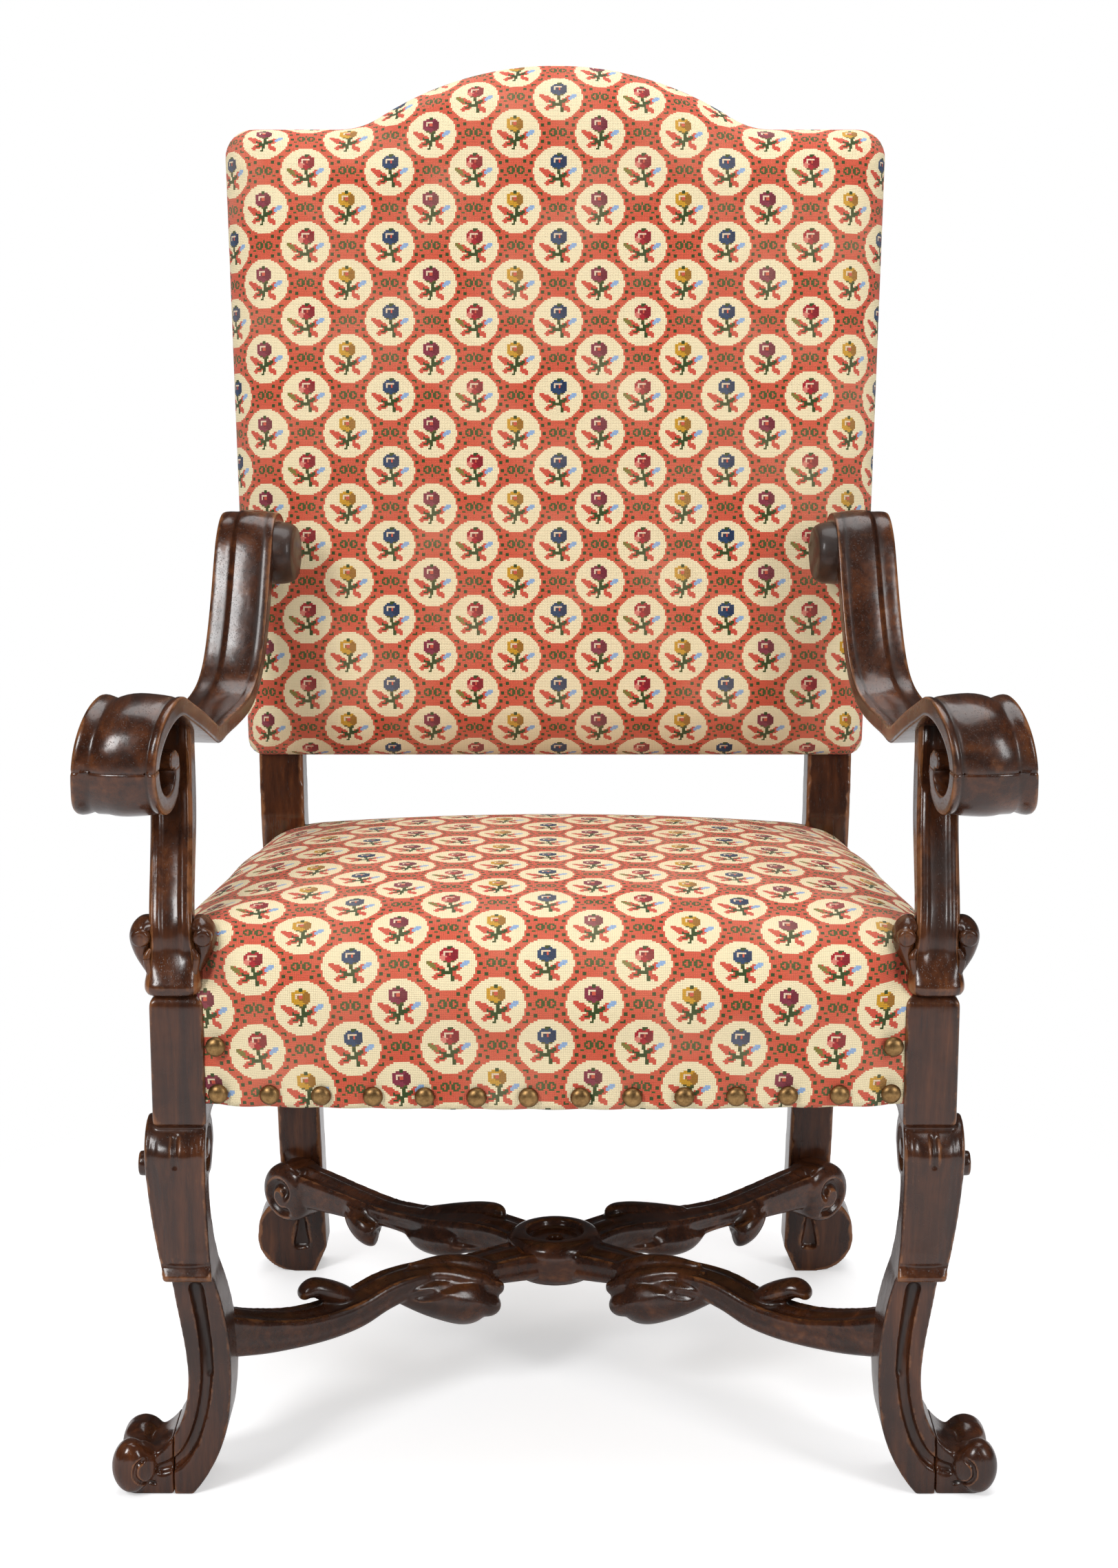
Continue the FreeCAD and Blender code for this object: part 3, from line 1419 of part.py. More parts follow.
def seat_form(inset):
    """The padded seat: upright borders, a rounded edge and a full crown."""
    low = d.seat_bottom
    tall = d.seat_top - low
    shrink = inset / seat_half_front
    wires = [seat_outline(scale - shrink, low + (tall - inset) * share) for share, scale in SEAT_SWELL]
    return Part.makeLoft(wires, True, True)


def on_seat_border(x, y, z):
    """A point of the seat's outline, moved out by the border's swell at a height."""
    share = (z - d.seat_bottom) / (d.seat_top - d.seat_bottom)
    for (low, start), (high, stop) in zip(SEAT_SWELL, SEAT_SWELL[1:]):
        if low <= share <= high:
            scale = start + (stop - start) * (share - low) / (high - low)
            return V(x * scale, seat_middle + (y - seat_middle) * scale, z)
    raise ValueError(z)


def seat_cuts():
    """What the upholstery is cut away for: the front blocks, the arm supports and the posts."""
    room = d.soft_clearance
    ear_x = support_x + d.support_roll_shift - d.support_foot_width / 2 - d.support_roll_ear
    behind = max(block_rear, block_front + d.support_roll_set + 2 * d.support_roll_radius) + room
    corner = box(V(block_inner - room, -THROUGH, 0), V(THROUGH, block_rear + room, d.block_top + room))
    above = box(V(ear_x - room, -THROUGH, d.block_top + room / 2), V(THROUGH, behind, THROUGH))
    post = post_side_slab(room, post_inner(d.seat_bottom) - room)
    cuts = []
    for solid in (corner, above, post):
        cuts += both_sides(solid)
    return cuts


web_z = d.rail_top + d.soft_clearance
hessian_z = web_z + 2 * (d.strap_thickness + d.soft_clearance)
stuffing_z = hessian_z + d.hessian_thickness + d.soft_clearance


def seat_straps():
    """Webbing over the seat rails: straps from front to back, and cross straps laid over them."""
    half = d.strap_width / 2
    front = block_front + d.rail_setback + d.strap_inset
    rear = post_face(d.rail_top) + d.post_depth - d.strap_inset
    inside = post_inner(d.rail_top) - half - d.strap_margin
    margin = half + d.strap_margin
    over = web_z + d.strap_thickness + d.soft_clearance
    lengthways = [box(V(x - half, front, web_z), V(x + half, rear, web_z + d.strap_thickness))
                  for x in spread(STRAP_COUNT, -inside, inside)]
    crossways = []
    for y in spread(STRAP_COUNT, block_rear + margin, post_face(d.rail_top) - margin):
        reach = seat_half(y + half) - d.seat_side_bulge - d.rail_setback - d.strap_inset
        crossways.append(box(V(-reach, y - half, over), V(reach, y + half, over + d.strap_thickness)))
    return Part.makeCompound(lengthways + crossways)


def nail_at(spot, outward):
    """A dome-headed nail driven at a spot, its head towards outward."""
    head = d.nail_head / 2
    shank = d.nail_shank / 2
    dome = (head ** 2 + d.nail_dome ** 2) / (2 * d.nail_dome)
    tilt = math.asin(head / dome) / 2

    def at(r, z):
        return V(r, 0, z)

    neck = at(shank, d.nail_point - d.nail_length)
    shoulder = at(dome * math.sin(tilt), d.nail_dome - dome * (1 - math.cos(tilt)))
    edges = [
        line(at(0, -d.nail_length), neck),
        line(neck, at(shank, 0)),
        line(at(shank, 0), at(head, 0)),
        arc(at(head, 0), shoulder, at(0, d.nail_dome)),
        line(at(0, d.nail_dome), at(0, -d.nail_length)),
    ]
    nail = turned(edges, ORIGIN, UP)
    nail.Placement = FreeCAD.Placement(spot, FreeCAD.Rotation(UP, outward))
    return nail


def hole_at(spot, outward):
    """The hole for a nail's shank, a little wider than the shank."""
    length = d.nail_length + d.joint_clearance
    return Part.makeCylinder(d.nail_shank / 2 + d.joint_clearance, length, spot - outward * length, outward)


def front_nail_spots():
    end = block_inner - d.nail_head / 2 - d.nail_margin
    spots = [(x, d.nail_line) for x in spread(int(d.front_nail_count), -end, end)]
    spots += [(x, d.nail_line + d.end_nail_rise) for x in (-end, end)]
    placed = []
    for x, z in spots:
        slope = x / math.sqrt(seat_bow_radius ** 2 - x ** 2)
        outward = V(slope, -1, 0).normalize()
        placed.append((on_seat_border(x, seat_front_at(x), z) + outward * d.soft_clearance, outward))
    return placed


def side_nail_spots():
    """Nails along the right side, from the block to the rear post."""
    low = block_rear + d.nail_head
    high = post_face(d.nail_line) - d.nail_head
    slope = (seat_half_rear - seat_half_front) / (seat_rear - seat_front)
    outward = V(1, -slope, 0).normalize()
    return [(on_seat_border(seat_half(y), y, d.nail_line) + outward * d.soft_clearance, outward)
            for y in spread(int(d.side_nail_count), low, high)]


def nails_and_holes(spots):
    nails = [nail_at(spot, outward) for spot, outward in spots]
    holes = [hole_at(spot, outward) for spot, outward in spots]
    return Part.makeCompound(nails), holes


def drilled(label, base, holes):
    """A rail with its nails' holes drilled in it."""
    drill = doc.addObject("Part::Feature", label + "_holes")
    drill.Shape = Part.makeCompound(holes)
    piece = doc.addObject("Part::Cut", label)
    piece.Label = label
    piece.Base = base
    piece.Tool = drill
    pieces.append(piece)
    return piece


def build():
    front_blank = front_seat_rail()
    rear_rail = rear_seat_rail()
    lower_back, lower_mortises = lower_back_rail()
    doc.recompute()
    crest, crest_mortises = crest_rail()
    keep("crest_rail", crest)
    side, side_mortises = side_rail()
    mortises = [
        tenon_space(front_blank, block_inner, tenon_height, -tenon_height / 2),
        tenon_space(rear_rail, post_inner(rail_low), tenon_height),
        lower_mortises,
        crest_mortises,
        side_mortises,
    ]
    support_dowel_at = V(support_x, block_front + d.support_depth / 2, d.block_top)
    leg, toe = front_leg_and_toe()
    arm, hand_block, underside = arm_and_hand_block()
    support = arm_support(underside)
    room = d.joint_clearance
    neck_y = neck_front + d.support_neck / 2
    neck_top = underside_height(underside, neck_y)
    arm_dowel_at = V(block_x + d.support_lean, neck_y, neck_top - d.arm_dowel_drop)
    leg = leg.cut(mortises + [front_stretcher_tenon(room), dowel(support_dowel_at, room)])
    post = rear_post().cut(mortises + [rear_stretcher_tenon(room), arm_tenon(room)])
    support = support.cut([dowel(support_dowel_at, room), dowel(arm_dowel_at, room)])
    arm = arm.cut(dowel(arm_dowel_at, room))
    keep_pair("front_leg", leg)
    keep_pair("front_toe", toe)
    keep_pair("arm_support", support)
    keep_pair("arm", arm)
    keep_pair("hand_block", hand_block)
    keep_pair("rear_post", post)
    keep("support_dowels", Part.makeCompound(both_sides(dowel(support_dowel_at, 0))))
    keep("arm_dowels", Part.makeCompound(both_sides(dowel(arm_dowel_at, 0))))
    upper, lower = stretchers()
    keep("stretcher_upper_diagonal", upper)
    keep("stretcher_lower_diagonal", lower)

    front_nails, front_holes = nails_and_holes(front_nail_spots())
    side_nails, side_holes = nails_and_holes(side_nail_spots())
    keep("front_nails", front_nails)
    keep_pair("side_nails", side_nails)
    drilled("front_seat_rail", front_blank, front_holes)
    keep_pair("seat_rail", side.cut(side_holes))

    cover = d.cover_thickness
    within = cover + d.soft_clearance
    holes = front_holes + side_holes + [mirrored(hole) for hole in side_holes]
    cuts = seat_cuts()
    floor = box(V(-THROUGH, -THROUGH, -THROUGH), V(THROUGH, THROUGH, stuffing_z))
    keep("seat_webbing", seat_straps())
    sheet_low = seat_outline(1 - within * 2 / seat_half_front, hessian_z)
    hessian = Part.Face(sheet_low).extrude(UP * d.hessian_thickness)
    keep("seat_hessian", hessian.cut(cuts))
    keep("seat_stuffing", seat_form(within).cut(cuts + [floor]))
    keep("seat_cover", seat_form(0).cut(seat_form(cover)).cut(cuts + holes))

    tenon = arm_tenon(d.soft_clearance)
    tenons = both_sides(tenon)
    keep("back_webbing", back_straps().cut(tenons))
    sheet_back = back_outline(HESSIAN_SCALE, hessian_n)
    keep("back_hessian", Part.Face(sheet_back).extrude(back_forward * d.hessian_thickness).cut(tenons))
    keep("back_stuffing", back_form(within).cut([behind_back(stuffing_n)] + tenons))
    post_room = post_side_slab(d.soft_clearance, 0).common(post_envelope(d.soft_clearance))
    keep("back_cover", back_form(0).cut(back_form(cover)).cut(both_sides(post_room) + tenons))
    outside = Part.Face(back_outline(OUTSIDE_BACK_SCALE, -d.soft_clearance)).extrude(-back_forward * cover)
    keep("outside_back", outside)


def post_envelope(room):
    """The right post's front outline above the seat, with room on both sides."""
    low = d.bend_height
    high = post_top + room
    points = [V(post_inner(low) - room, 0, low), V(post_outer(low) + room, 0, low),
              V(post_outer(high) + room, 0, high), V(post_inner(high) - room, 0, high)]
    face = polygon_face(points)
    face.translate(-BACK * (THROUGH / 2))
    return face.extrude(BACK * THROUGH)


build()
doc.recompute()

for item in doc.Objects:
    if {"Invalid", "Error"} & set(item.State):
        raise RuntimeError(item.Label + " failed: " + ", ".join(item.State))
for piece in pieces:
    if piece.Shape.isNull() or not piece.Shape.isValid() or not piece.Shape.Solids:
        raise RuntimeError(piece.Label + " has no valid solid")

os.makedirs("parts", exist_ok=True)
for piece in pieces:
    piece.Shape.exportStep(os.path.join("parts", piece.Label + ".step"))
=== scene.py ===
import math

import bmesh
import bpy
import numpy as np
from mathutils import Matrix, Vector


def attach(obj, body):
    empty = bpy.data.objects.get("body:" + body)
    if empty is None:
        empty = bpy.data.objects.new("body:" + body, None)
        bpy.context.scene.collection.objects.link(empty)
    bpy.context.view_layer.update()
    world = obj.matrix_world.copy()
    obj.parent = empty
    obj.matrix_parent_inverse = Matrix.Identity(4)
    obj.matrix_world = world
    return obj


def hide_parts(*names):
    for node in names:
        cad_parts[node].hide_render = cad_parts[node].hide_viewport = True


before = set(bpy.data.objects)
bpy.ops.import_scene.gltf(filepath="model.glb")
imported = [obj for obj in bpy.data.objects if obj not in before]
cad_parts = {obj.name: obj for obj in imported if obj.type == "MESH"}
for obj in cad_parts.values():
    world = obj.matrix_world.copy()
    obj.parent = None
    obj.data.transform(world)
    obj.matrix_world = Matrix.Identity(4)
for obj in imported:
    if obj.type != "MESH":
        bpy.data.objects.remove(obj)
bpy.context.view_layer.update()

# Shapes are worked out in millimetres and written to meshes in metres.
MM = 0.001
LEFT_AND_RIGHT = (("left", -1), ("right", 1))


def add_object(name, data):
    """A new object in the scene, at the origin."""
    item = bpy.data.objects.new(name, data)
    bpy.context.scene.collection.objects.link(item)
    return item


def read(items, key, width, kind):
    """One property of every item, as an array."""
    values = np.zeros(len(items) * width, kind)
    items.foreach_get(key, values)
    return values.reshape(-1, width) if width > 1 else values


# Shader nodes

def tint(red, green, blue):
    """A screen colour from 0 to 255 as the linear colour that shaders take."""
    def linear(value):
        value /= 255
        return value / 12.92 if value <= 0.04045 else ((value + 0.055) / 1.055) ** 2.4
    return linear(red), linear(green), linear(blue), 1.0


class Wire:
    """A value in a finish; arithmetic on wires adds the nodes that work it out."""

    def __init__(self, finish, socket):
        self.finish = finish
        self.socket = socket

    def math(self, operation, *others):
        sockets = dict(enumerate((self,) + others))
        return self.finish.node("ShaderNodeMath", {"operation": operation}, sockets)[0]

    def reflected(self, operation, other):
        return self.finish.node("ShaderNodeMath", {"operation": operation}, {0: other, 1: self})[0]

    def __add__(self, other):
        return self.math("ADD", other)

    def __radd__(self, other):
        return self.math("ADD", other)

    def __sub__(self, other):
        return self.math("SUBTRACT", other)

    def __rsub__(self, other):
        return self.reflected("SUBTRACT", other)

    def __mul__(self, other):
        return self.math("MULTIPLY", other)

    def __rmul__(self, other):
        return self.math("MULTIPLY", other)

    def __truediv__(self, other):
        return self.math("DIVIDE", other)

    def __abs__(self):
        return self.math("ABSOLUTE")

    def __lt__(self, other):
        return self.math("LESS_THAN", other)

    def __gt__(self, other):
        return self.math("GREATER_THAN", other)

    def __and__(self, other):
        return self.math("MULTIPLY", other)

    def __or__(self, other):
        return self.math("MAXIMUM", other)


class Outputs:
    """The outputs of one node, by name or by number."""

    def __init__(self, finish, node):
        self.finish = finish
        self.node = node

    def __getitem__(self, key):
        return Wire(self.finish, self.node.outputs[key])


class Finish:
    """A procedural material, built node by node."""

    def __init__(self, name, **constants):
        self.material = bpy.data.materials.new(name)
        self.material.use_nodes = True
        self.tree = self.material.node_tree
        self.surface = self.tree.nodes["Principled BSDF"]
        for socket, value in constants.items():
            self.surface.inputs[socket.replace("_", " ").title().replace("Ior", "IOR")].default_value = value

    def node(self, kind, settings=None, sockets=None):
        node = self.tree.nodes.new(kind)
        for key, value in (settings or {}).items():
            if key == "stops":
                self.set_stops(node.color_ramp, value)
            else:
                setattr(node, key, value)
        for key, value in (sockets or {}).items():
            if isinstance(value, Wire):
                self.tree.links.new(value.socket, node.inputs[key])
            else:
                node.inputs[key].default_value = value
        return Outputs(self, node)

    def set_stops(self, ramp, stops):
        while len(ramp.elements) < len(stops):
            ramp.elements.new(0.5)
        for element, (place, colour) in zip(ramp.elements, stops):
            element.position = place
            element.color = colour

    def feed(self, **wires):
        for socket, wire in wires.items():
            self.tree.links.new(wire.socket, self.surface.inputs[socket.replace("_", " ").title()])

    def mix(self, share, first, second, blend="MIX"):
        settings = {"data_type": "RGBA", "blend_type": blend}
        return self.node("ShaderNodeMix", settings, {0: share, 6: first, 7: second})[2]

    def between(self, share, first, second):
        """A number that goes from the first to the second as the share goes from 0 to 1."""
        return self.node("ShaderNodeMix", {"data_type": "FLOAT"}, {0: share, 2: first, 3: second})[0]

    def step(self, value, low, high):
        settings = {"interpolation_type": "SMOOTHSTEP", "clamp": True}
        sockets = {"Value": value, "From Min": low, "From Max": high}
        return self.node("ShaderNodeMapRange", settings, sockets)[0]

    def noise(self, place, scale, detail=3.0, roughness=0.5, distortion=0.0):
        return self.node("ShaderNodeTexNoise", {}, {"Vector": place, "Scale": scale, "Detail": detail,
                                                    "Roughness": roughness, "Distortion": distortion})[0]

    def place(self):
        return self.node("ShaderNodeTexCoord")["Object"]

    def stretched(self, place, scale, turn=(0, 0, 0)):
        """The place in a turned frame that is drawn out along its axes."""
        return self.node("ShaderNodeMapping", {"vector_type": "TEXTURE"},
                         {"Vector": place, "Scale": scale, "Rotation": turn})[0]

    def attribute(self, name):
        return self.node("ShaderNodeAttribute", {"attribute_name": name})["Fac"]

    def bump(self, height, distance, strength=1.0, under=None):
        sockets = {"Height": height, "Distance": distance, "Strength": strength}
        if under:
            sockets["Normal"] = under
        return self.node("ShaderNodeBump", {}, sockets)[0]


def walnut(name, turn=(0, 0, 0)):
    """Old polished walnut whose grain runs along Z before the turn: pale where rubbed, and painted dark where
    sunk, as shade in the hollows.
    """
    wood = Finish(name, roughness=0.3, ior=1.42, coat_weight=0.26, coat_roughness=0.15)
    place = wood.place()
    grain = wood.stretched(place, (1, 1, 11), turn)
    figure = wood.noise(grain, 30, detail=5, roughness=0.6, distortion=1.1)
    streak = wood.noise(grain, 170, detail=3, roughness=0.6)
    pores = wood.noise(wood.stretched(place, (1, 1, 22), turn), 900, detail=2)
    stain = wood.noise(place, 11, detail=4, roughness=0.6)
    # The darkest brown colours both the pores and the painted shade in the hollows.
    umber, bare_wood, pore_and_shade_dark = tint(34, 17, 9), tint(146, 92, 50), tint(30, 18, 12)
    stops = [(0.28, tint(32, 16, 9)), (0.44, tint(50, 25, 13)), (0.57, tint(72, 38, 19)),
             (0.74, tint(104, 60, 31))]
    body = wood.node("ShaderNodeValToRGB", {"stops": stops}, {0: figure * 0.6 + streak * 0.4})[0]
    patchy = wood.noise(place, 48, detail=5, roughness=0.65)
    worn = wood.step(wood.attribute("rubbed") + (patchy - 0.5) * 2.2, 0.45, 1.25)
    # Painted shade: the wood is darkened where it lies sunk in a hollow, broken up by the stain noise; the
    # same mask also makes it rougher there.
    painted_hollow_shade = wood.step(wood.attribute("sunk") + (stain - 0.5) * 1.4, 0.1, 1.2)
    colour = wood.mix(wood.step(stain, 0.42, 0.72) * 0.7, body, umber)
    colour = wood.mix(worn * 0.55, colour, bare_wood)
    colour = wood.mix(painted_hollow_shade * 0.72, colour, pore_and_shade_dark)
    pore_mask = wood.step(pores, 0.60, 0.72)
    colour = wood.mix(pore_mask * 0.35, colour, pore_and_shade_dark)
    gloss = 0.24 + (stain - 0.5) * 0.36 + painted_hollow_shade * 0.24 + worn * 0.1
    dents = wood.noise(place, 60, detail=2)
    hand_cut = wood.bump(dents, 0.0013, 0.45)
    relief = wood.bump(pore_mask * -1.0 + streak * 0.3, 0.0002, 0.5, hand_cut)
    wood.feed(base_color=colour, roughness=gloss, normal=relief)
    return wood.material


class Ground:
    """The figured cloth's drawing in stitches: shapes are masks, and colours are laid in turn."""

    def __init__(self, finish, colour):
        self.finish = finish
        self.colour = colour

    def lay(self, mask, colour):
        self.colour = self.finish.mix(mask, self.colour, colour)


def oval(x, y, middle, radii, turn=0.0):
    """Mask of a turned oval."""
    c, s = math.cos(turn), math.sin(turn)
    across = x - middle[0]
    up = y - middle[1]
    long_way = across * (c / radii[0]) + up * (s / radii[0])
    short_way = across * (-s / radii[1]) + up * (c / radii[1])
    return long_way * long_way + short_way * short_way < 1.0


def leaf(x, y, start, stop, half_width):
    """Mask of a narrow leaf from one stitch to another."""
    run = (stop[0] - start[0], stop[1] - start[1])
    middle = ((start[0] + stop[0]) / 2, (start[1] + stop[1]) / 2)
    return oval(x, y, middle, (math.hypot(*run) / 2, half_width), math.atan2(run[1], run[0]))


# The cloth's repeat, in stitches: columns of medallions, each column half a repeat up from the last.
STITCH = 1.52
COLUMN = 26
REPEAT = 46
MEDALLION = 15.2


def figured_cloth(name, column_at, row_at):
    """Needlework of ivory medallions with flower sprigs on coral, stitched on a canvas."""
    cloth = Finish(name, roughness=0.88, ior=1.4, specular_ior_level=0.25, sheen_weight=0.12,
                   sheen_roughness=0.5)
    uv = cloth.node("ShaderNodeUVMap", {"uv_map": "cloth"})[0]
    split = cloth.node("ShaderNodeSeparateXYZ", {}, {0: uv})
    across = (split[0] - column_at * MM) * (1 / (STITCH * MM)) + 0.5
    upward = (split[1] - row_at * MM) * (1 / (STITCH * MM))
    column_stitch = across.math("FLOOR")
    row_stitch = upward.math("FLOOR") + 0.5
    in_x = across - column_stitch
    in_y = upward - row_stitch + 0.5

    def nearest(first_column):
        """Stitches from the nearest medallion of every second column, and that column's number."""
        shifted = column_stitch - first_column * COLUMN
        pair = (shifted / (2 * COLUMN)).math("ROUND")
        x = shifted - pair * (2 * COLUMN)
        lifted = row_stitch - first_column * (REPEAT / 2)
        y = lifted - (lifted / REPEAT).math("ROUND") * REPEAT
        return x, y, pair * 2 + first_column

    even_x, even_y, even_column = nearest(0)
    odd_x, odd_y, odd_column = nearest(1)
    odd_nearer = (odd_x * odd_x + odd_y * odd_y) < (even_x * even_x + even_y * even_y)
    x = cloth.between(odd_nearer, even_x, odd_x)
    y = cloth.between(odd_nearer, even_y, odd_y)
    column = cloth.between(odd_nearer, even_column, odd_column)
    kind = column - (column / 4).math("FLOOR") * 4
    blue_rose = kind.math("COMPARE", 0.0, 0.3)
    wine_rose = kind.math("COMPARE", 1.0, 0.3)
    red_rose = kind.math("COMPARE", 2.0, 0.3)
    lean = (blue_rose + red_rose) * 2 - 1

    coral, ivory = tint(224, 99, 72), tint(252, 235, 192)
    dark_green, leaf_coral = tint(54, 76, 34), tint(216, 86, 66)
    drawing = Ground(cloth, cloth.mix(cloth.noise(uv, 9, detail=2), coral, tint(213, 88, 63)))

    wide, high = abs(x), abs(y)
    ring = (abs(wide - 17.5) | high) < 0.8
    for dot_x, dot_y in ((16.5, 5.0), (14.5, 10.0), (10.5, 14.0), (5.5, 17.0)):
        ring = ring | ((abs(wide - dot_x) | abs(high - dot_y)) < 0.8)
    drawing.lay(ring, dark_green)

    far = wide > COLUMN / 2
    knot_x = cloth.between(far, x, wide - COLUMN)
    knot_y = cloth.between(far, y - y.math("SIGN") * (REPEAT / 2), y)
    loop_x, loop_y = abs(knot_x) - 3.2, knot_y - 0.5
    loop = abs((loop_x * loop_x + loop_y * loop_y).math("SQRT") - 1.9) < 0.7
    side_seeds = (abs(abs(knot_x) - 6.5) | abs(knot_y + 2.5)) < 0.8
    seeds = side_seeds | ((abs(knot_x) | abs(abs(knot_y) - 3.0)) < 0.9)
    outside = wide * wide + high * high > MEDALLION ** 2
    drawing.lay((loop | seeds) & outside, tint(72, 90, 42))

    drawing.lay(oval(x, y, (0, 0), (MEDALLION, MEDALLION)), ivory)

    stem_x = 0.7 + lean * (y * -0.24 - 0.3)
    stem = (abs(x - stem_x) < 0.95) & (abs(y + 4.4) < 5.8)
    cross_branch = leaf(x, y, (-6.5, -7.2), (6.0, -2.4), 0.75)
    turned_leaf = cloth.mix(red_rose, leaf_coral, tint(133, 124, 58))
    for start, stop, half_width, colour in (
            ((-11.2, 1.2), (-1.6, -4.2), 2.1, leaf_coral), ((-11.4, 1.6), (-6.0, -2.6), 1.25, turned_leaf),
            ((1.4, -4.6), (9.4, 0.8), 1.9, leaf_coral), ((6.4, -1.6), (11.6, 2.0), 1.35, tint(150, 182, 222)),
            ((-8.2, -8.0), (-1.6, -5.4), 1.6, leaf_coral), ((2.4, -5.6), (7.6, -9.6), 1.6, leaf_coral)):
        drawing.lay(leaf(x, y, start, stop, half_width), colour)
    drawing.lay(stem | cross_branch | leaf(x, y, (-5.5, -2.8), (-0.5, -4.6), 0.9)
                | leaf(x, y, (1.2, -3.6), (5.4, -1.4), 0.9), dark_green)

    petal = tint(212, 158, 42)
    for rose, colour in ((red_rose, tint(176, 30, 46)), (wine_rose, tint(140, 52, 72)),
                         (blue_rose, tint(36, 68, 104))):
        petal = cloth.mix(rose, petal, colour)
    shade = cloth.mix(0.55, petal, cloth.mix(blue_rose, tint(96, 24, 34), tint(20, 34, 66)))
    light_edge = cloth.mix(red_rose, petal, tint(228, 134, 118))
    rose_x, rose_y = x - lean * 0.6, y - 5.9
    for middle, radii, colour in (
            ((0.0, -0.6), (5.0, 5.0), tint(96, 92, 44)), ((0, 0), (5.4, 4.5), petal),
            ((3.0, -0.6), (2.2, 3.4), shade), ((-3.2, -1.6), (1.7, 2.0), light_edge),
            ((-0.7, 0.6), (2.6, 1.9), tint(240, 214, 182)), ((0.3, 0.0), (2.2, 1.5), shade),
            ((0.4, 0.2), (1.1, 0.9), tint(214, 92, 72)), ((0.2, 4.2), (1.5, 0.95), dark_green)):
        drawing.lay(oval(rose_x, rose_y, middle, radii), colour)

    edge_x = abs(in_x - 0.5) * 2
    edge_y = abs(in_y - 0.5) * 2
    slant = in_x - in_y * 0.35
    thread = (1 - edge_x * edge_x * edge_x * edge_x) * (1 - edge_y * edge_y * edge_y * edge_y)
    # Near the edges of each stitch the canvas shows in dark brown, which also serves as painted shade in the
    # gaps between stitches.
    canvas = cloth.step(edge_y * 0.8 + edge_x * 0.35, 0.72, 1.1)
    uneven = cloth.noise(uv, 1250, detail=2)
    fibre = cloth.noise(cloth.stretched(uv, (1, 1, 1), (0, 0, 0.6)), 3200, detail=2)
    faded = cloth.noise(uv, 14, detail=3)
    colour = cloth.mix(canvas * 0.50, drawing.colour, tint(104, 66, 44))
    colour = cloth.mix(0.10 + uneven * 0.22, colour, tint(60, 34, 24), "MULTIPLY")
    colour = cloth.mix(cloth.step(faded, 0.35, 0.75) * 0.10, colour, tint(236, 214, 180))
    weave = cloth.bump(thread + slant * 0.2 + fibre * 0.25, 0.0005, 0.75)
    cloth.feed(base_color=colour, normal=weave)
    return cloth.material


def plain_cloth(name, light, dark, thread):
    """A plain weave: two sets of threads, each rising over the other in turn."""
    cloth = Finish(name, roughness=0.9, ior=1.4, specular_ior_level=0.2, sheen_weight=0.1)
    uv = cloth.node("ShaderNodeUVMap", {"uv_map": "cloth"})[0]
    split = cloth.node("ShaderNodeSeparateXYZ", {}, {0: uv})
    across = split[0] * (math.pi / (thread * MM))
    upward = split[1] * (math.pi / (thread * MM))
    warp = abs(across.math("SINE"))
    weft = abs(upward.math("SINE"))
    over = (across.math("COSINE") * upward.math("COSINE")) > 0.0
    height = cloth.between(over, weft, warp)
    slub = cloth.noise(cloth.stretched(uv, (1, 8, 1)), 700, detail=3)
    faded = cloth.noise(uv, 12, detail=4)
    # The threads are painted light where they rise and dark where they sink under the crossing thread:
    # painted highlight and painted shade, with the slub adding uneven yarn tone.
    colour = cloth.mix(cloth.step(height * 0.7 + slub * 0.6, 0.25, 1.0), dark, light)
    colour = cloth.mix(cloth.step(faded, 0.4, 0.8) * 0.25, colour, dark)
    cloth.feed(base_color=colour, normal=cloth.bump(height + slub * 0.4, thread * MM * 0.3, 0.7))
    return cloth.material


def aged_brass(name):
    """Brass gone brown, rubbed bright on the crowns of the heads."""
    brass = Finish(name, metallic=1.0, roughness=0.35)
    place = brass.place()
    tarnish = brass.noise(place, 240, detail=4, roughness=0.6)
    specks = brass.noise(place, 1100, detail=2)
    crown = brass.attribute("crown")
    colour = brass.mix(brass.step(tarnish, 0.3, 0.7), tint(128, 98, 62), tint(166, 132, 86))
    colour = brass.mix((1 - crown) * 0.6, colour, tint(84, 60, 38))
    colour = brass.mix(brass.step(specks, 0.6, 0.75) * 0.5, colour, tint(62, 42, 26))
    brass.feed(base_color=colour, roughness=0.26 + tarnish * 0.22 + (1 - crown) * 0.15,
               normal=brass.bump(tarnish + specks * 0.3, 0.0002, 0.4))
    return brass.material


upright_walnut = walnut("upright_walnut")
fore_and_aft_walnut = walnut("fore_and_aft_walnut", (math.radians(90), 0, 0))
level_walnut = walnut("level_walnut", (0, math.radians(90), 0))
rising_diagonal_walnut = walnut("rising_diagonal_walnut", (math.radians(90), 0, math.radians(48)))
falling_diagonal_walnut = walnut("falling_diagonal_walnut", (math.radians(90), 0, math.radians(-48)))
brass = aged_brass("aged_brass")


# Carved wood

def node_form(node):
    """A CAD node's skin in millimetres, with its loose triangles joined."""
    work = bmesh.new()
    work.from_mesh(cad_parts[node].data)
    bmesh.ops.remove_doubles(work, verts=work.verts, dist=1e-5)
    work.verts.index_update()
    points = np.array([vertex.co[:] for vertex in work.verts]) / MM
    faces = [tuple(vertex.index for vertex in face.verts) for face in work.faces]
    work.free()
    return points, faces


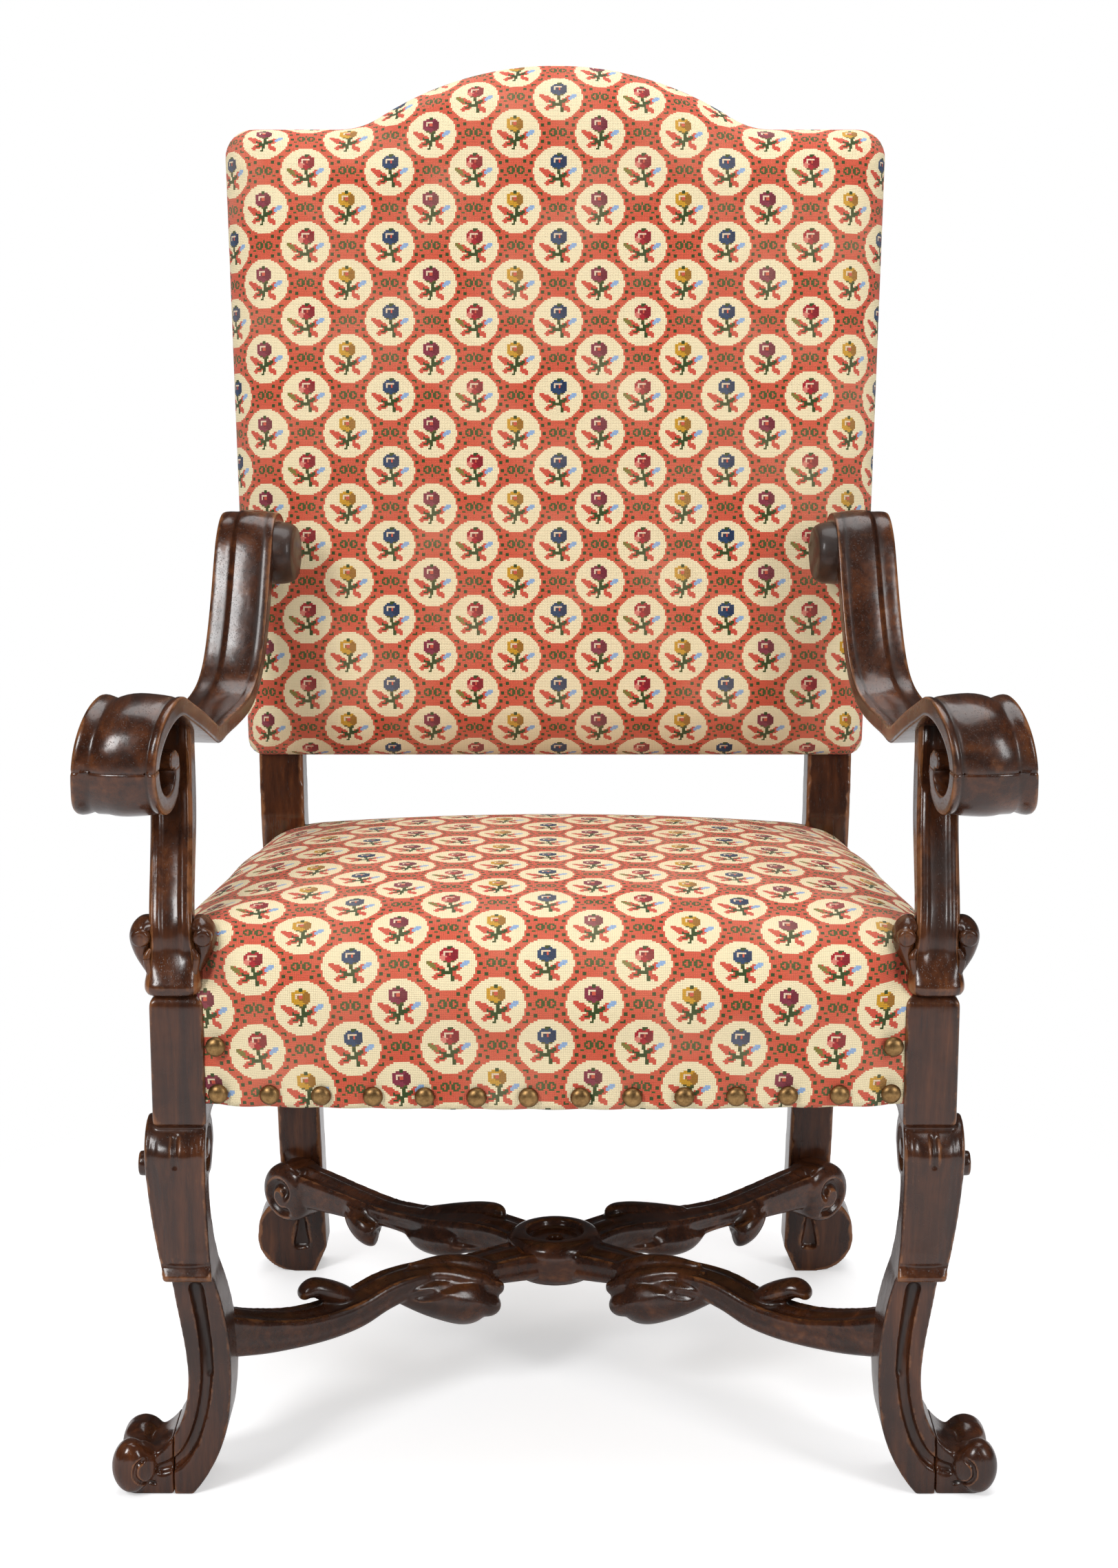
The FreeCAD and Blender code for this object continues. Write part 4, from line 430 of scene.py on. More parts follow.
def smooth_line(points, count):
    """Points of a smooth line through the given ones, evenly numbered along them."""
    points = np.asarray(points, float)
    ends = np.vstack([2 * points[0] - points[1], points, 2 * points[-1] - points[-2]])
    places = np.linspace(0, len(points) - 1 - 1e-9, count)
    k = places.astype(int)
    t = (places - k)[:, None]
    a, b, c, e = ends[k], ends[k + 1], ends[k + 2], ends[k + 3]
    return 0.5 * (2 * b + (c - a) * t + (2 * a - 5 * b + 4 * c - e) * t ** 2
                  + (3 * b - a - 3 * c + e) * t ** 3)


def turned_out(points, faces):
    """The faces in the order that makes the closed form's skin look outwards."""
    volume = 0.0
    for face in faces:
        a = points[face[0]]
        for b, c in zip(face[1:], face[2:]):
            volume += np.dot(a, np.cross(points[b], points[c]))
    return faces if volume > 0 else [face[::-1] for face in faces]


def skin(rings):
    """A closed form over a run of rings, its ends closed to their middles."""
    count, sides = rings.shape[:2]
    points = np.vstack([rings.reshape(-1, 3), rings[:1].mean(axis=1), rings[-1:].mean(axis=1)])
    faces = []
    for ring in range(count - 1):
        for k in range(sides):
            a, b = ring * sides + k, ring * sides + (k + 1) % sides
            faces.append((a, b, b + sides, a + sides))
    first, last = count * sides, count * sides + 1
    for k in range(sides):
        after = (k + 1) % sides
        faces.append((after, k, first))
        faces.append(((count - 1) * sides + k, (count - 1) * sides + after, last))
    return points, turned_out(points, faces)


def limb(spine, radii, flat=1.0, facing=(0, 0, 1), sides=20, count=40):
    """A closed round form along a smooth spine; flat squeezes it in the way that it faces."""
    line = smooth_line(spine, count)
    sizes = smooth_line(np.asarray(radii, float)[:, None], count)[:, 0].clip(0.05)
    ahead = np.gradient(line, axis=0)
    ahead /= np.linalg.norm(ahead, axis=1)[:, None]
    side = np.cross(ahead, np.asarray(facing, float))
    side /= np.linalg.norm(side, axis=1)[:, None]
    face = np.cross(side, ahead)
    angles = np.linspace(0, 2 * math.pi, sides, endpoint=False)
    c, s = np.cos(angles)[None, :, None], np.sin(angles)[None, :, None]
    return skin(line[:, None] + sizes[:, None, None] * (c * side[:, None] + flat * s * face[:, None]))


def block(low, high):
    """A plain block between two corners."""
    (x0, y0, z0), (x1, y1, z1) = low, high
    ring = [(x0, z0), (x1, z0), (x1, z1), (x0, z1)]
    return skin(np.array([[(x, y, z) for x, z in ring] for y in (y0, y1)]))


def across_x(form):
    """The form's mirror image on the other side of the chair."""
    points, faces = form
    return points * (-1, 1, 1), [face[::-1] for face in faces]


def fade(value, low, high):
    """0 below low, 1 above high, and smooth between them."""
    share = ((value - low) / (high - low)).clip(0, 1)
    return share * share * (3 - 2 * share)


def band(value, low, high, soft):
    """1 between two limits, fading to 0 outside them."""
    return fade(value, low - soft, low + soft) * (1 - fade(value, high - soft, high + soft))


def hump(value, middle, width):
    """1 at the middle, falling off smoothly on both sides."""
    return np.exp(-((value - middle) / width) ** 2)


def squarish(value, power):
    """A sine or cosine pushed outwards, which makes a round section fuller at its corners."""
    return np.sign(value) * np.abs(value) ** power


def skin_normals(points, faces):
    """The way outwards at each point of a skin of four-cornered faces."""
    corners = points[faces]
    flat = np.cross(corners[:, 2] - corners[:, 0], corners[:, 3] - corners[:, 1])
    total = np.stack([np.bincount(faces.ravel(), np.repeat(flat[:, k], 4), len(points)) for k in range(3)],
                     axis=1)
    return total / np.linalg.norm(total, axis=1)[:, None].clip(1e-9)


# The heights over and under their surroundings at which wood is fully rubbed or sunk.
FULLY_RUBBED, FULLY_SUNK = 0.45, 2.4


class Carving:
    """A fine skin over the forms of one wooden piece, which is then smoothed, cut and worn."""

    def __init__(self, forms, voxel):
        points, faces = [], []
        for form_points, form_faces in forms:
            start = sum(len(done) for done in points)
            points.append(form_points)
            faces += [tuple(start + k for k in face) for face in form_faces]
        mesh = bpy.data.meshes.new("blank")
        mesh.from_pydata(np.vstack(points) * MM, [], faces)
        blank = add_object("blank", mesh)
        remesh = blank.modifiers.new("skin", "REMESH")
        remesh.mode = "VOXEL"
        remesh.voxel_size = voxel * MM
        fine = bpy.data.meshes.new_from_object(blank.evaluated_get(bpy.context.evaluated_depsgraph_get()))
        self.points = read(fine.vertices, "co", 3, np.float32).astype(float) / MM
        self.edges = read(fine.edges, "vertices", 2, np.int32)
        self.faces = read(fine.loops, "vertex_index", 1, np.int32).reshape(-1, 4)
        bpy.data.objects.remove(blank)
        bpy.data.meshes.remove(mesh)
        bpy.data.meshes.remove(fine)

    def average(self, values):
        """The mean of each point's neighbours."""
        here = np.concatenate([self.edges[:, 0], self.edges[:, 1]])
        there = np.concatenate([self.edges[:, 1], self.edges[:, 0]])
        count = np.bincount(here, minlength=len(values)).clip(1)
        return np.stack([np.bincount(here, values[there, k], len(values)) / count for k in range(3)], axis=1)

    def smooth(self, rounds):
        """Draws each point half way to the mean of its neighbours, round by round."""
        for _ in range(rounds):
            self.points += (self.average(self.points) - self.points) * 0.5

    def normals(self):
        return skin_normals(self.points, self.faces)

    def raise_by(self, height):
        """Lifts the skin by a height at each point, or sinks it where that is negative."""
        self.points += self.normals() * height[:, None]

    def from_line(self, line, view=(1, 1, 1)):
        """How far each point is from a line, as seen in a view, and how far along it the nearest place is."""
        line = np.asarray(line, float) * view
        seen = self.points * view
        best = np.full(len(self.points), 1e9)
        along = np.zeros(len(self.points))
        runs = np.linalg.norm(np.diff(line, axis=0), axis=1)
        for k, (a, b) in enumerate(zip(line, line[1:])):
            share = ((seen - a) @ (b - a) / runs[k] ** 2).clip(0, 1)
            gap = np.linalg.norm(seen - a - share[:, None] * (b - a), axis=1)
            nearer = gap < best
            best[nearer] = gap[nearer]
            along[nearer] = runs[:k].sum() + share[nearer] * runs[k]
        return best, along / runs.sum()

    def groove(self, points, width, depth, view=(1, 1, 1), where=1.0):
        """Cuts a rounded groove along a smooth line, faded towards its ends."""
        gap, along = self.from_line(smooth_line(points, 10 * len(points)), view)
        ends = fade(along, 0, 0.1) * (1 - fade(along, 0.9, 1))
        self.raise_by(-depth * (1 - (gap / width).clip(0, 1) ** 2) ** 2 * ends * where)

    def limits(self, value, station, chosen, step=3.0):
        """The least and greatest value at each station, from the chosen points."""
        bins = np.arange(station[chosen].min(), station[chosen].max() + step, step)
        place = np.digitize(station[chosen], bins) - 1
        low = np.full(len(bins), np.inf)
        high = np.full(len(bins), -np.inf)
        np.minimum.at(low, place, value[chosen])
        np.maximum.at(high, place, value[chosen])
        full = np.isfinite(low)
        middles = bins[full] + step / 2
        return np.interp(station, middles, low[full]), np.interp(station, middles, high[full])

    def marks(self):
        """Marks of wear and of painted shade: how sharply each point stands out, which the finish paints pale
        as wear, and how deep it lies in a hollow, which the finish paints dark as shade.
        """
        normals = self.normals()
        near = self.points.copy()
        for _ in range(5):
            near += (self.average(near) - near) * 0.6
        rubbed = ((self.points - near) * normals).sum(axis=1)
        # How deep each point lies in a hollow: the walnut paints it dark there as shade.
        far = near.copy()
        for _ in range(40):
            far += (self.average(far) - far) * 0.7
        sunk = ((far - self.points) * normals).sum(axis=1)
        return {"rubbed": (rubbed / FULLY_RUBBED).clip(-1, 1.2), "sunk": (sunk / FULLY_SUNK).clip(-1, 1.2)}


def new_piece(name, points, faces, material, nodes, uv=None, marks=None):
    """A finished piece at the origin, which rides on the chair and stands for its CAD nodes."""
    mesh = bpy.data.meshes.new(name)
    mesh.from_pydata(np.asarray(points) * MM, [], [tuple(face) for face in faces])
    mesh.shade_smooth()
    mesh.materials.append(material)
    for mark, values in (marks or {}).items():
        mesh.attributes.new(mark, "FLOAT", "POINT").data.foreach_set("value", np.asarray(values, np.float32))
    if uv is not None:
        layer = mesh.uv_layers.new(name="cloth")
        loops = read(mesh.loops, "vertex_index", 1, np.int32)
        layer.data.foreach_set("uv", np.asarray(uv, np.float32)[loops].ravel() * MM)
    mesh.validate()
    piece = add_object(name, mesh)
    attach(piece, "root")
    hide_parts(*nodes)
    return piece


def carved_pair(name, points, faces, marks, material):
    """A carved piece of the right side, and its mirror image on the left."""
    for side, sign in LEFT_AND_RIGHT:
        turned = faces if sign > 0 else [tuple(face)[::-1] for face in faces]
        new_piece(f"carved_{side}_{name}", points * (sign, 1, 1), turned, material,
                  [f"{side}_{name}"], marks=marks)


class Assembly:
    """Closed forms gathered into one piece, each point with its marks of wear and of painted shade."""

    def __init__(self):
        self.points = np.zeros((0, 3))
        self.faces = []
        self.rubbed = np.zeros(0)
        self.sunk = np.zeros(0)

    def add(self, form, rubbed=0.0, sunk=0.0):
        points, faces = form
        start = len(self.points)
        self.points = np.vstack([self.points, points])
        self.faces += [tuple(start + k for k in face) for face in faces]
        # rubbed paints the wood pale as wear; sunk paints it dark as shade in hollows.
        self.rubbed = np.concatenate([self.rubbed, np.broadcast_to(rubbed, len(points))])
        self.sunk = np.concatenate([self.sunk, np.broadcast_to(sunk, len(points))])

    def marks(self):
        return {"rubbed": self.rubbed, "sunk": self.sunk}


# Arms: a moulded ribbon that rolls up at both ends

# Where an arm starts at the post, and the hand's distance from the chair's middle.
ARM_REAR_X, ARM_REAR_Y = 291.0, 121.9
HAND_X = 305 + 36.4
# Middles of the arm's bends in its own upright plane, along it and up, each with the bend's radius.
ARM_REAR, REAR_ROLL = (0.0, 743.0), 18.5
ELBOW, ELBOW_BEND = (-120.0, 663.0), 62.0
SWEEP, SWEEP_BEND = (-215.0, 711.0), 110.0
HAND, HAND_ROLL = (-381.0, 620.5), 34.5
# Turns of the hand's roll: the share of its radius, and the angle at which each ends.
HAND_TURNS = ((1.0, 200), (0.72, 300), (0.4, 372))
SPLAY = math.asin((HAND_X - ARM_REAR_X) / -HAND[0])

# The ribbon's section from the foot of its inner edge round its underside: an edge that the point is measured
# from, the distance from it, the height over the underside, and the marks of wear and of painted shade in the
# coves and underneath.
RIBBON = [
    (-1, 1.2, 0.0, 0, 0), (-0.5, 0, 0.0, 0, 0.2), (0, 0, 0.0, 0, 0.2), (0.5, 0, 0.0, 0, 0.2),
    (1, -2.6, 0.0, 0, 0), (1, -1.4, 0.6, 0.2, 0), (1, -1.2, 3.5, 0, 0), (1, -0.8, 7.0, 0, 0),
    (1, -0.2, 11.0, 0.1, 0), (1, 0.2, 13.4, 0.5, 0), (1, 0.1, 14.8, 0.9, 0), (1, -0.9, 15.7, 1.0, 0),
    (1, -2.6, 16.0, 0.7, 0), (1, -5.0, 15.7, 0.3, 0), (1, -7.6, 14.9, 0, 0.2), (1, -10.2, 13.9, 0, 0.4),
    (1, -12.6, 13.4, 0, 0.6), (1, -14.6, 13.7, 0, 0.6), (1, -17, 14.9, 0, 0.2), (0.36, 0, 16.3, 0.1, 0),
    (0.22, 0, 17.2, 0.2, 0), (0.06, 0, 17.6, 0.3, 0), (-0.12, 0, 17.5, 0.3, 0), (-0.32, 0, 17.0, 0.2, 0),
    (-0.5, 0, 16.4, 0.1, 0), (-1, 11.5, 15.6, 0, 0.1), (-1, 9.4, 14.9, 0, 0.4), (-1, 8.2, 14.2, 0, 0.8),
    (-1, 7.2, 14.2, 0, 0.8), (-1, 6.2, 14.9, 0, 0.4), (-1, 4.8, 15.4, 0.3, 0), (-1, 3.2, 15.5, 0.5, 0),
    (-1, 1.4, 15.4, 0.9, 0), (-1, 0.4, 14.8, 1.0, 0), (-1, 0.0, 13.9, 0.6, 0), (-1, 0.0, 11.0, 0, 0),
    (-1, 0.0, 7.4, 0, 0), (-1, 0.0, 4.0, 0, 0), (-1, 0.1, 1.6, 0.3, 0), (-1, 0.5, 0.4, 0.4, 0),
]
# Half the ribbon's width at shares of its length.
RIBBON_HALF = ((0, 24), (0.12, 26.5), (0.34, 27), (0.5, 29), (0.62, 33), (1, 34.5))
RIBBON_STEP, EASING_ROUNDS = 1.7, 340
# The height from which a point of the section belongs to its face, and where along the arm the hand starts.
FACE_RISE, HAND_START = 13.3, -285

# The roll at the back: its eye, and pairs of a place across the arm and a radius.
REAR_EYE = (-3, 739)
REAR_CORE = ((-53, 3), (-52.4, 21), (-50, 25.5), (-44, 28), (-36, 29), (-30, 29), (0, 25), (10, 20), (12, 2))
TENON_SHOULDER, TENON_START = 165, 138

# The hooked tip inside the hand: an angle, the reach from the eye and a radius. Then places across the hand,
# with what is taken off the radius there, and its ends.
HAND_TIPS = ((378, 21.0, 8.6), (392, 18.5, 8.0), (408, 13.5, 7.0))
HAND_EDGE = ((34.2, 1.6), (33.2, 0.3), (30, 0))
HAND_END, END_RADIUS = 34.4, 1


def arc_run(middle, radius, start, stop, back=0.0):
    """Places along an arc in the arm's plane, each with the angle at which the ribbon's face looks out."""
    angles = np.linspace(start, stop, 60)
    return np.stack([middle[0] + radius * np.cos(angles), middle[1] + radius * np.sin(angles), angles - back],
                    axis=1)


def arm_line():
    """The ribbon's underside in the arm's own upright plane, from the rear roll to the eye of the hand."""
    def course(a, b):
        return math.hypot(b[0] - a[0], b[1] - a[1]), math.atan2(b[1] - a[1], b[0] - a[0]) % (2 * math.pi)

    quarter = math.pi / 2
    length, bearing = course(ARM_REAR, ELBOW)
    drop = bearing + math.asin((REAR_ROLL + ELBOW_BEND) / length)
    length, bearing = course(SWEEP, HAND)
    rise = bearing - math.asin((SWEEP_BEND + HAND_ROLL) / length)
    runs = [
        arc_run(ARM_REAR, REAR_ROLL, math.radians(-70), drop - quarter),
        arc_run(ELBOW, ELBOW_BEND, drop + quarter, math.pi + quarter, math.pi),
        arc_run(SWEEP, SWEEP_BEND, math.pi + quarter, rise + quarter, math.pi),
    ]
    middle, radius, start = np.array(HAND), HAND_ROLL, rise - quarter
    for share, stop in HAND_TURNS:
        middle = middle + (radius - HAND_ROLL * share) * np.array([math.cos(start), math.sin(start)])
        radius = HAND_ROLL * share
        runs.append(arc_run(middle, radius, start, math.radians(stop)))
        start = math.radians(stop)
    line = np.vstack(runs)
    far = np.concatenate([[0], np.cumsum(np.hypot(*np.diff(line[:, :2], axis=0).T))])
    places = np.linspace(0, far[-1], int(far[-1] / RIBBON_STEP))
    line = np.stack([np.interp(places, far, line[:, k]) for k in range(3)], axis=1)
    ease = band(line[:, 0], -300, -22, 18) * (places < far[-1] * 0.7)
    for _ in range(EASING_ROUNDS):
        line[1:-1] += 0.25 * ease[1:-1, None] * (line[:-2] - 2 * line[1:-1] + line[2:])
    ahead = np.gradient(line[:, :2], axis=0)
    facing = np.unwrap(np.arctan2(ahead[:, 1], ahead[:, 0])) - math.pi / 2
    line[:, 2] = facing + (line[0, 2] - facing[0])
    return line, middle


def arm_placed(u, along, z):
    """The arm's own plane turned outwards and set at the back of the chair."""
    c, s = math.cos(SPLAY), math.sin(SPLAY)
    return np.stack([ARM_REAR_X + u * c - along * s, ARM_REAR_Y + u * s + along * c, z], axis=-1)


def ribbon(line, half):
    """The moulded section carried along a part of the arm's line, and its marks. It is plainer at the rear,
    and the hand turns outwards as it rolls over."""
    anchor, offset, rise, rubbed, sunk = np.array(RIBBON).T
    facing = line[:, 2, None]
    forward = -line[:, :1]
    in_hand = (line[:, :1] < HAND_START) * 1.0
    rolled = in_hand * fade(facing, math.radians(75), math.radians(195))
    flare = in_hand * hump(facing, math.radians(235), 0.6) * (anchor == 1) * fade(rise, 10, 13.5)
    # The ribbon lies inwards at the rear, straight at the elbow and inwards again towards the hand.
    inset = -9.5 + 10 * fade(forward, 35, 135) - 11 * fade(forward, 150, 330)
    u = anchor * half[:, None] + offset + 3.5 * flare + inset * (1 - rolled)
    face = rise > FACE_RISE
    plain = 13.6 + 2.6 * (1 - (u - inset) ** 2 / half[:, None] ** 2)
    moulded = 0.3 + 0.7 * fade(forward, 170, 330)
    lift = np.where(face, plain + (rise - plain) * moulded, rise) + 1.5 * flare
    squeeze = np.ones(len(line))
    squeeze[[0, -1]] = 0.985
    u = u * squeeze[:, None]
    rings = arm_placed(u, line[:, 0, None] + lift * np.cos(facing), line[:, 1, None] + lift * np.sin(facing))
    marks = [np.concatenate([np.tile(mark, len(line)), [0, 0]]) for mark in (rubbed, sunk)]
    return skin(rings), *marks


def core(middle, stations):
    """The solid middle of a roll, across the arm, from pairs of a place across it and a radius."""
    spine = [arm_placed(np.float64(u), middle[0], middle[1]) for u, _ in stations]
    return limb(spine, [radius for _, radius in stations], sides=28, count=48)


def carve_arms():
    """The right arm and the hand block under its front roll, and their mirror images."""
    line, eye = arm_line()
    half = np.interp(np.linspace(0, 1, len(line)), *np.transpose(RIBBON_HALF))
    joint = int(np.argmax(line[:, 2] > math.pi))
    arm = Assembly()
    arm.add(*ribbon(line[:joint + 1], half[:joint + 1]))
    # The rear roll's core is painted dark as shade in the roll's eye (sunk 0.8).
    arm.add(core(REAR_EYE, REAR_CORE), 0, 0.8)
    tenon = node_form("right_arm")[0]
    tenon = tenon[tenon[:, 1] > TENON_SHOULDER]
    low, high = tenon.min(axis=0), tenon.max(axis=0)
    arm.add(block((low[0], TENON_START, low[2]), high))
    carved_pair("arm", arm.points, arm.faces, arm.marks(), fore_and_aft_walnut)
    hand = Assembly()
    hand.add(*ribbon(line[joint:], half[joint:]))
    for turn, reach, size in HAND_TIPS:
        tip = eye + reach * np.array([math.cos(math.radians(turn)), math.sin(math.radians(turn))])
        outer = [(HAND_END, END_RADIUS)] + [(place, size - less) for place, less in HAND_EDGE]
        across = [(-place, radius) for place, radius in outer] + [(0, size)] + outer[::-1]
        # The hand's hooked tips get a little painted shade (sunk 0.1) and a little wear.
        hand.add(core(tip, across), 0.25, 0.1)
    carved_pair("hand_block", hand.points, hand.faces, hand.marks(), fore_and_aft_walnut)


# Arm supports: a hollowed leaf that rises from a flared foot with two carved ears

def at_height(stations, z):
    """A smooth value at each height from pairs of a height and a value."""
    line = smooth_line(stations, 300)
    return np.interp(z, line[:, 0], line[:, 1])


# The joint between a leg's block and its support, in the scene and in the solids, and the middle of the foot.
BLOCK_TOP, CAD_BLOCK_TOP = 433, 424
FOOT_X = 308
SUPPORT_TOP, SUPPORT_STEP = 641, 1.6
# How far the support keeps from the eye of the hand.
HAND_CLEAR = 46.5

# The carved ears: places outwards from the foot's side, along the chair and up.
FOOT_SIDE = 16
EAR = [(0, -273, 487), (6, -273, 485), (10, -274, 478), (8.5, -276, 467), (5, -278, 456), (2, -280, 446)]
EAR_ROLL = [(9, y, 479) for y in (-291, -290, -284, -262, -258)]
EAR_VEIN = [(1, -288, 470), (4, -289, 463), (2.5, -289, 452), (0, -288, 444)]


def support_leaf():
    """The right support's leaf, hollowed and reeded in front and cut back round the hand, and its marks."""
    z = np.arange(BLOCK_TOP, SUPPORT_TOP, SUPPORT_STEP)
    front = at_height([(BLOCK_TOP, -297), (440, -299), (449, -295), (464, -291), (496, -285), (562, -243.4),
                       (620.5, -219.3), (680, -194.4)], z)
    rear = at_height([(BLOCK_TOP, -249), (464, -252), (496, -252.9), (562, -197.4), (620.5, -173.3),
                      (680, -148.4)], z)
    middle = at_height([(BLOCK_TOP, FOOT_X), (464, FOOT_X), (496, 309.5), (680, 319)], z)
    half = at_height([(BLOCK_TOP, 21.4), (436, 23), (442, 23), (450, 21.6), (466, 19.4), (500, 17.6),
                      (680, 17.6)], z)
    angles = np.linspace(0, 2 * math.pi, 72, endpoint=False)
    across, deep = squarish(np.cos(angles), 0.5), squarish(np.sin(angles), 0.5)
    x = middle[:, None] + half[:, None] * across
    y = (front + rear)[:, None] / 2 + (rear - front)[:, None] / 2 * deep
    share = (across[None] * half[:, None] / (half[:, None] - 3.2)).clip(-1, 1)
    hollow = (1 - share ** 2) ** 0.8 * (deep < -0.6) * fade(z, 442, 470)[:, None]
    reeds = 1.1 * np.cos(share * 3 * math.pi) * (deep < -0.6) * fade(z, 450, 490)[:, None]
    y = y + 6.5 * hollow - reeds
    rings = np.stack([x, y, np.broadcast_to(z[:, None], x.shape)], axis=-1)
    c, s = math.cos(SPLAY), math.sin(SPLAY)
    along = -(rings[..., 0] - ARM_REAR_X) * s + (rings[..., 1] - ARM_REAR_Y) * c
    gap = np.hypot(along - HAND[0], rings[..., 2] - HAND[1])
    push = (HAND_CLEAR - gap).clip(0)
    rings[..., 1] += push * (along - HAND[0]) / gap.clip(1)
    rings[..., 2] += push * (rings[..., 2] - HAND[1]) / gap.clip(1)
    rim = (np.abs(np.abs(across) - 0.9) < 0.1) & (deep < -0.5)
    rubbed = np.tile(rim * 0.9, (len(z), 1)) + 0.6 * hump(z[:, None], 439, 4)
    # The hollow in front is painted dark as shade (sunk).
    sunk = hollow * 0.55
    ends = [0, 0]
    return skin(rings), np.concatenate([rubbed.ravel(), ends]), np.concatenate([sunk.ravel(), ends])


def carve_supports():
    """The right support with an ear on each side of its foot, and its mirror image."""
    support = Assembly()
    support.add(*support_leaf())
    for sign in (1, -1):
        ear, roll, vein = [[(FOOT_X + sign * (FOOT_SIDE + out), y, z) for out, y, z in spine]
                           for spine in (EAR, EAR_ROLL, EAR_VEIN)]
        # The ears' sunk values paint them dark as shade, most on the lobes.
        lobe = limb(ear, (7, 9.5, 9.5, 8, 5.5, 2), flat=1.5, facing=(0, 1, 0), sides=28, count=60)
        support.add(lobe, 0.2, 0.25)
        support.add(limb(roll, (2, 6.5, 8, 8, 2), sides=24), 0.5, 0.1)
        support.add(limb(vein, (1.5, 3, 2.6, 1), sides=16), 0.6, 0)
    carved_pair("arm_support", support.points, support.faces, support.marks(), upright_walnut)


# Legs and toes

FRONT_VIEW = (1, 0, 1)
STRAP_MIDDLE, STRAP_FRONT = 308.5, -284


def carve_front_leg():
    """The right front leg: a convex strap over the knee, with beads, a lip at its foot and a notch on top."""
    leg = Carving([node_form("right_front_leg")], 1.4)
    leg.smooth(5)
    x, y, z = leg.points.T
    inner, outer = leg.limits(x, z, y < STRAP_FRONT)
    front = fade(-leg.normals()[:, 1], 0.3, 0.8)
    share = (x - inner) / (outer - inner).clip(1)
    crown = 5.0 * (1 - (2 * share - 1).clip(-1, 1) ** 2) * band(z, 205, 308, 10)
    edge_gap = np.minimum(x - inner, outer - x)
    quirks = (-1.5 * hump(edge_gap, 5.0, 1.2) - 1.1 * hump(edge_gap, 9.0, 1.1)) * band(z, 204, 312, 4)
    lip = 3.0 * hump(z, 194, 3.6) - 2.0 * hump(z, 202.5, 2.4)
    leg.raise_by((crown + quirks + lip * band(edge_gap, -5, 200, 1)) * front)
    front = fade(-leg.normals()[:, 1], 0.1, 0.5)
    leg.groove([(STRAP_MIDDLE, 0, z) for z in (316, 308, 300, 288)], 3.4, 3.0, FRONT_VIEW, front)
    x, y, z = leg.points.T
    tongue = np.interp(z, (112, 150, 186), (2.6, 3.6, 6.5))
    channel = hump((share - 0.5) * (outer - inner), 0, tongue) * band(z, 104, 188, 3)
    leg.raise_by(-2.6 * channel * front)
    leg.smooth(2)
    leg.points[:, 2] += (BLOCK_TOP - CAD_BLOCK_TOP) * fade(leg.points[:, 2], 400, 423)
    return leg


def carve_toe():
    """The right toe: a rolled scroll with a domed end, a hollow waist and a smaller roll behind."""
    dome = limb([(353, -310.5, 26), (353, -310, 26), (353, -307, 26), (353, -300, 26), (354, -286, 27)],
                (0.5, 6, 12.5, 16.2, 15), flat=1.42, facing=(0, 0, 1), sides=40, count=40)
    toe = Carving([node_form("right_front_toe"), dome], 1.2)
    toe.smooth(26)
    lip = [(331, 0, 10), (341, 0, 13), (348, 0, 21), (347, 0, 31), (340, 0, 36)]
    toe.groove(lip, 2.6, 2.6, FRONT_VIEW, fade(-toe.normals()[:, 1], 0.0, 0.4))
    return toe


# Stretcher: four moulded arms that grow out of a dished boss, with buds and curled leaves

BOSS_Y = -26.1
FRONT_END, REAR_END = (-287.0, -237.0), (-271.5, 185.0)
# The eye of a volute, along its arm and up, and the hollows along the sides of the arms.
VOLUTE = (327, 95)
FRONT_HOLLOW = ((30, 30, 110), (120, 26, 112), (180, 24, 112), (360, 26, 118))
REAR_HOLLOW = ((30, 28, 106), (150, 22, 98), (220, 22, 97), (300, 25, 100))


def along_arm(form, end):
    """A form drawn out along an arm and towards the chair's front, set in its place on the left."""
    points, faces = form
    run = np.array([end[0], end[1] - BOSS_Y])
    run /= np.linalg.norm(run)
    forward = np.array([-run[1], run[0]])
    flat = np.array([0, BOSS_Y]) + points[:, :1] * run + points[:, 1:2] * forward
    placed = np.column_stack([flat, points[:, 2]])
    return placed, turned_out(placed, faces)


def moulded_bar(top, low, half, start, stop):
    """A bar along S with lips, hollows and a bead on its top, from its heights and half widths."""
    s = np.arange(start, stop, 2.0)
    high, deep, wide = at_height(top, s), at_height(low, s), at_height(half, s)
    angles = np.linspace(0, 2 * math.pi, 56, endpoint=False)
    across, upward = squarish(np.cos(angles), 0.6), squarish(np.sin(angles), 0.6)
    lips, hollows = 2.2 * hump(np.abs(across), 0.84, 0.13), 2.0 * hump(np.abs(across), 0.5, 0.2)
    mould = (lips - hollows + 1.6 * hump(across, 0, 0.2)) * (upward > 0.5)
    waist = -1.6 * hump(upward, 0, 0.35) * np.sign(np.cos(angles))
    y = wide[:, None] * across + waist
    z = (high + deep)[:, None] / 2 + (high - deep)[:, None] / 2 * upward + mould
    return skin(np.stack([np.broadcast_to(s[:, None], y.shape), y, z], axis=-1))


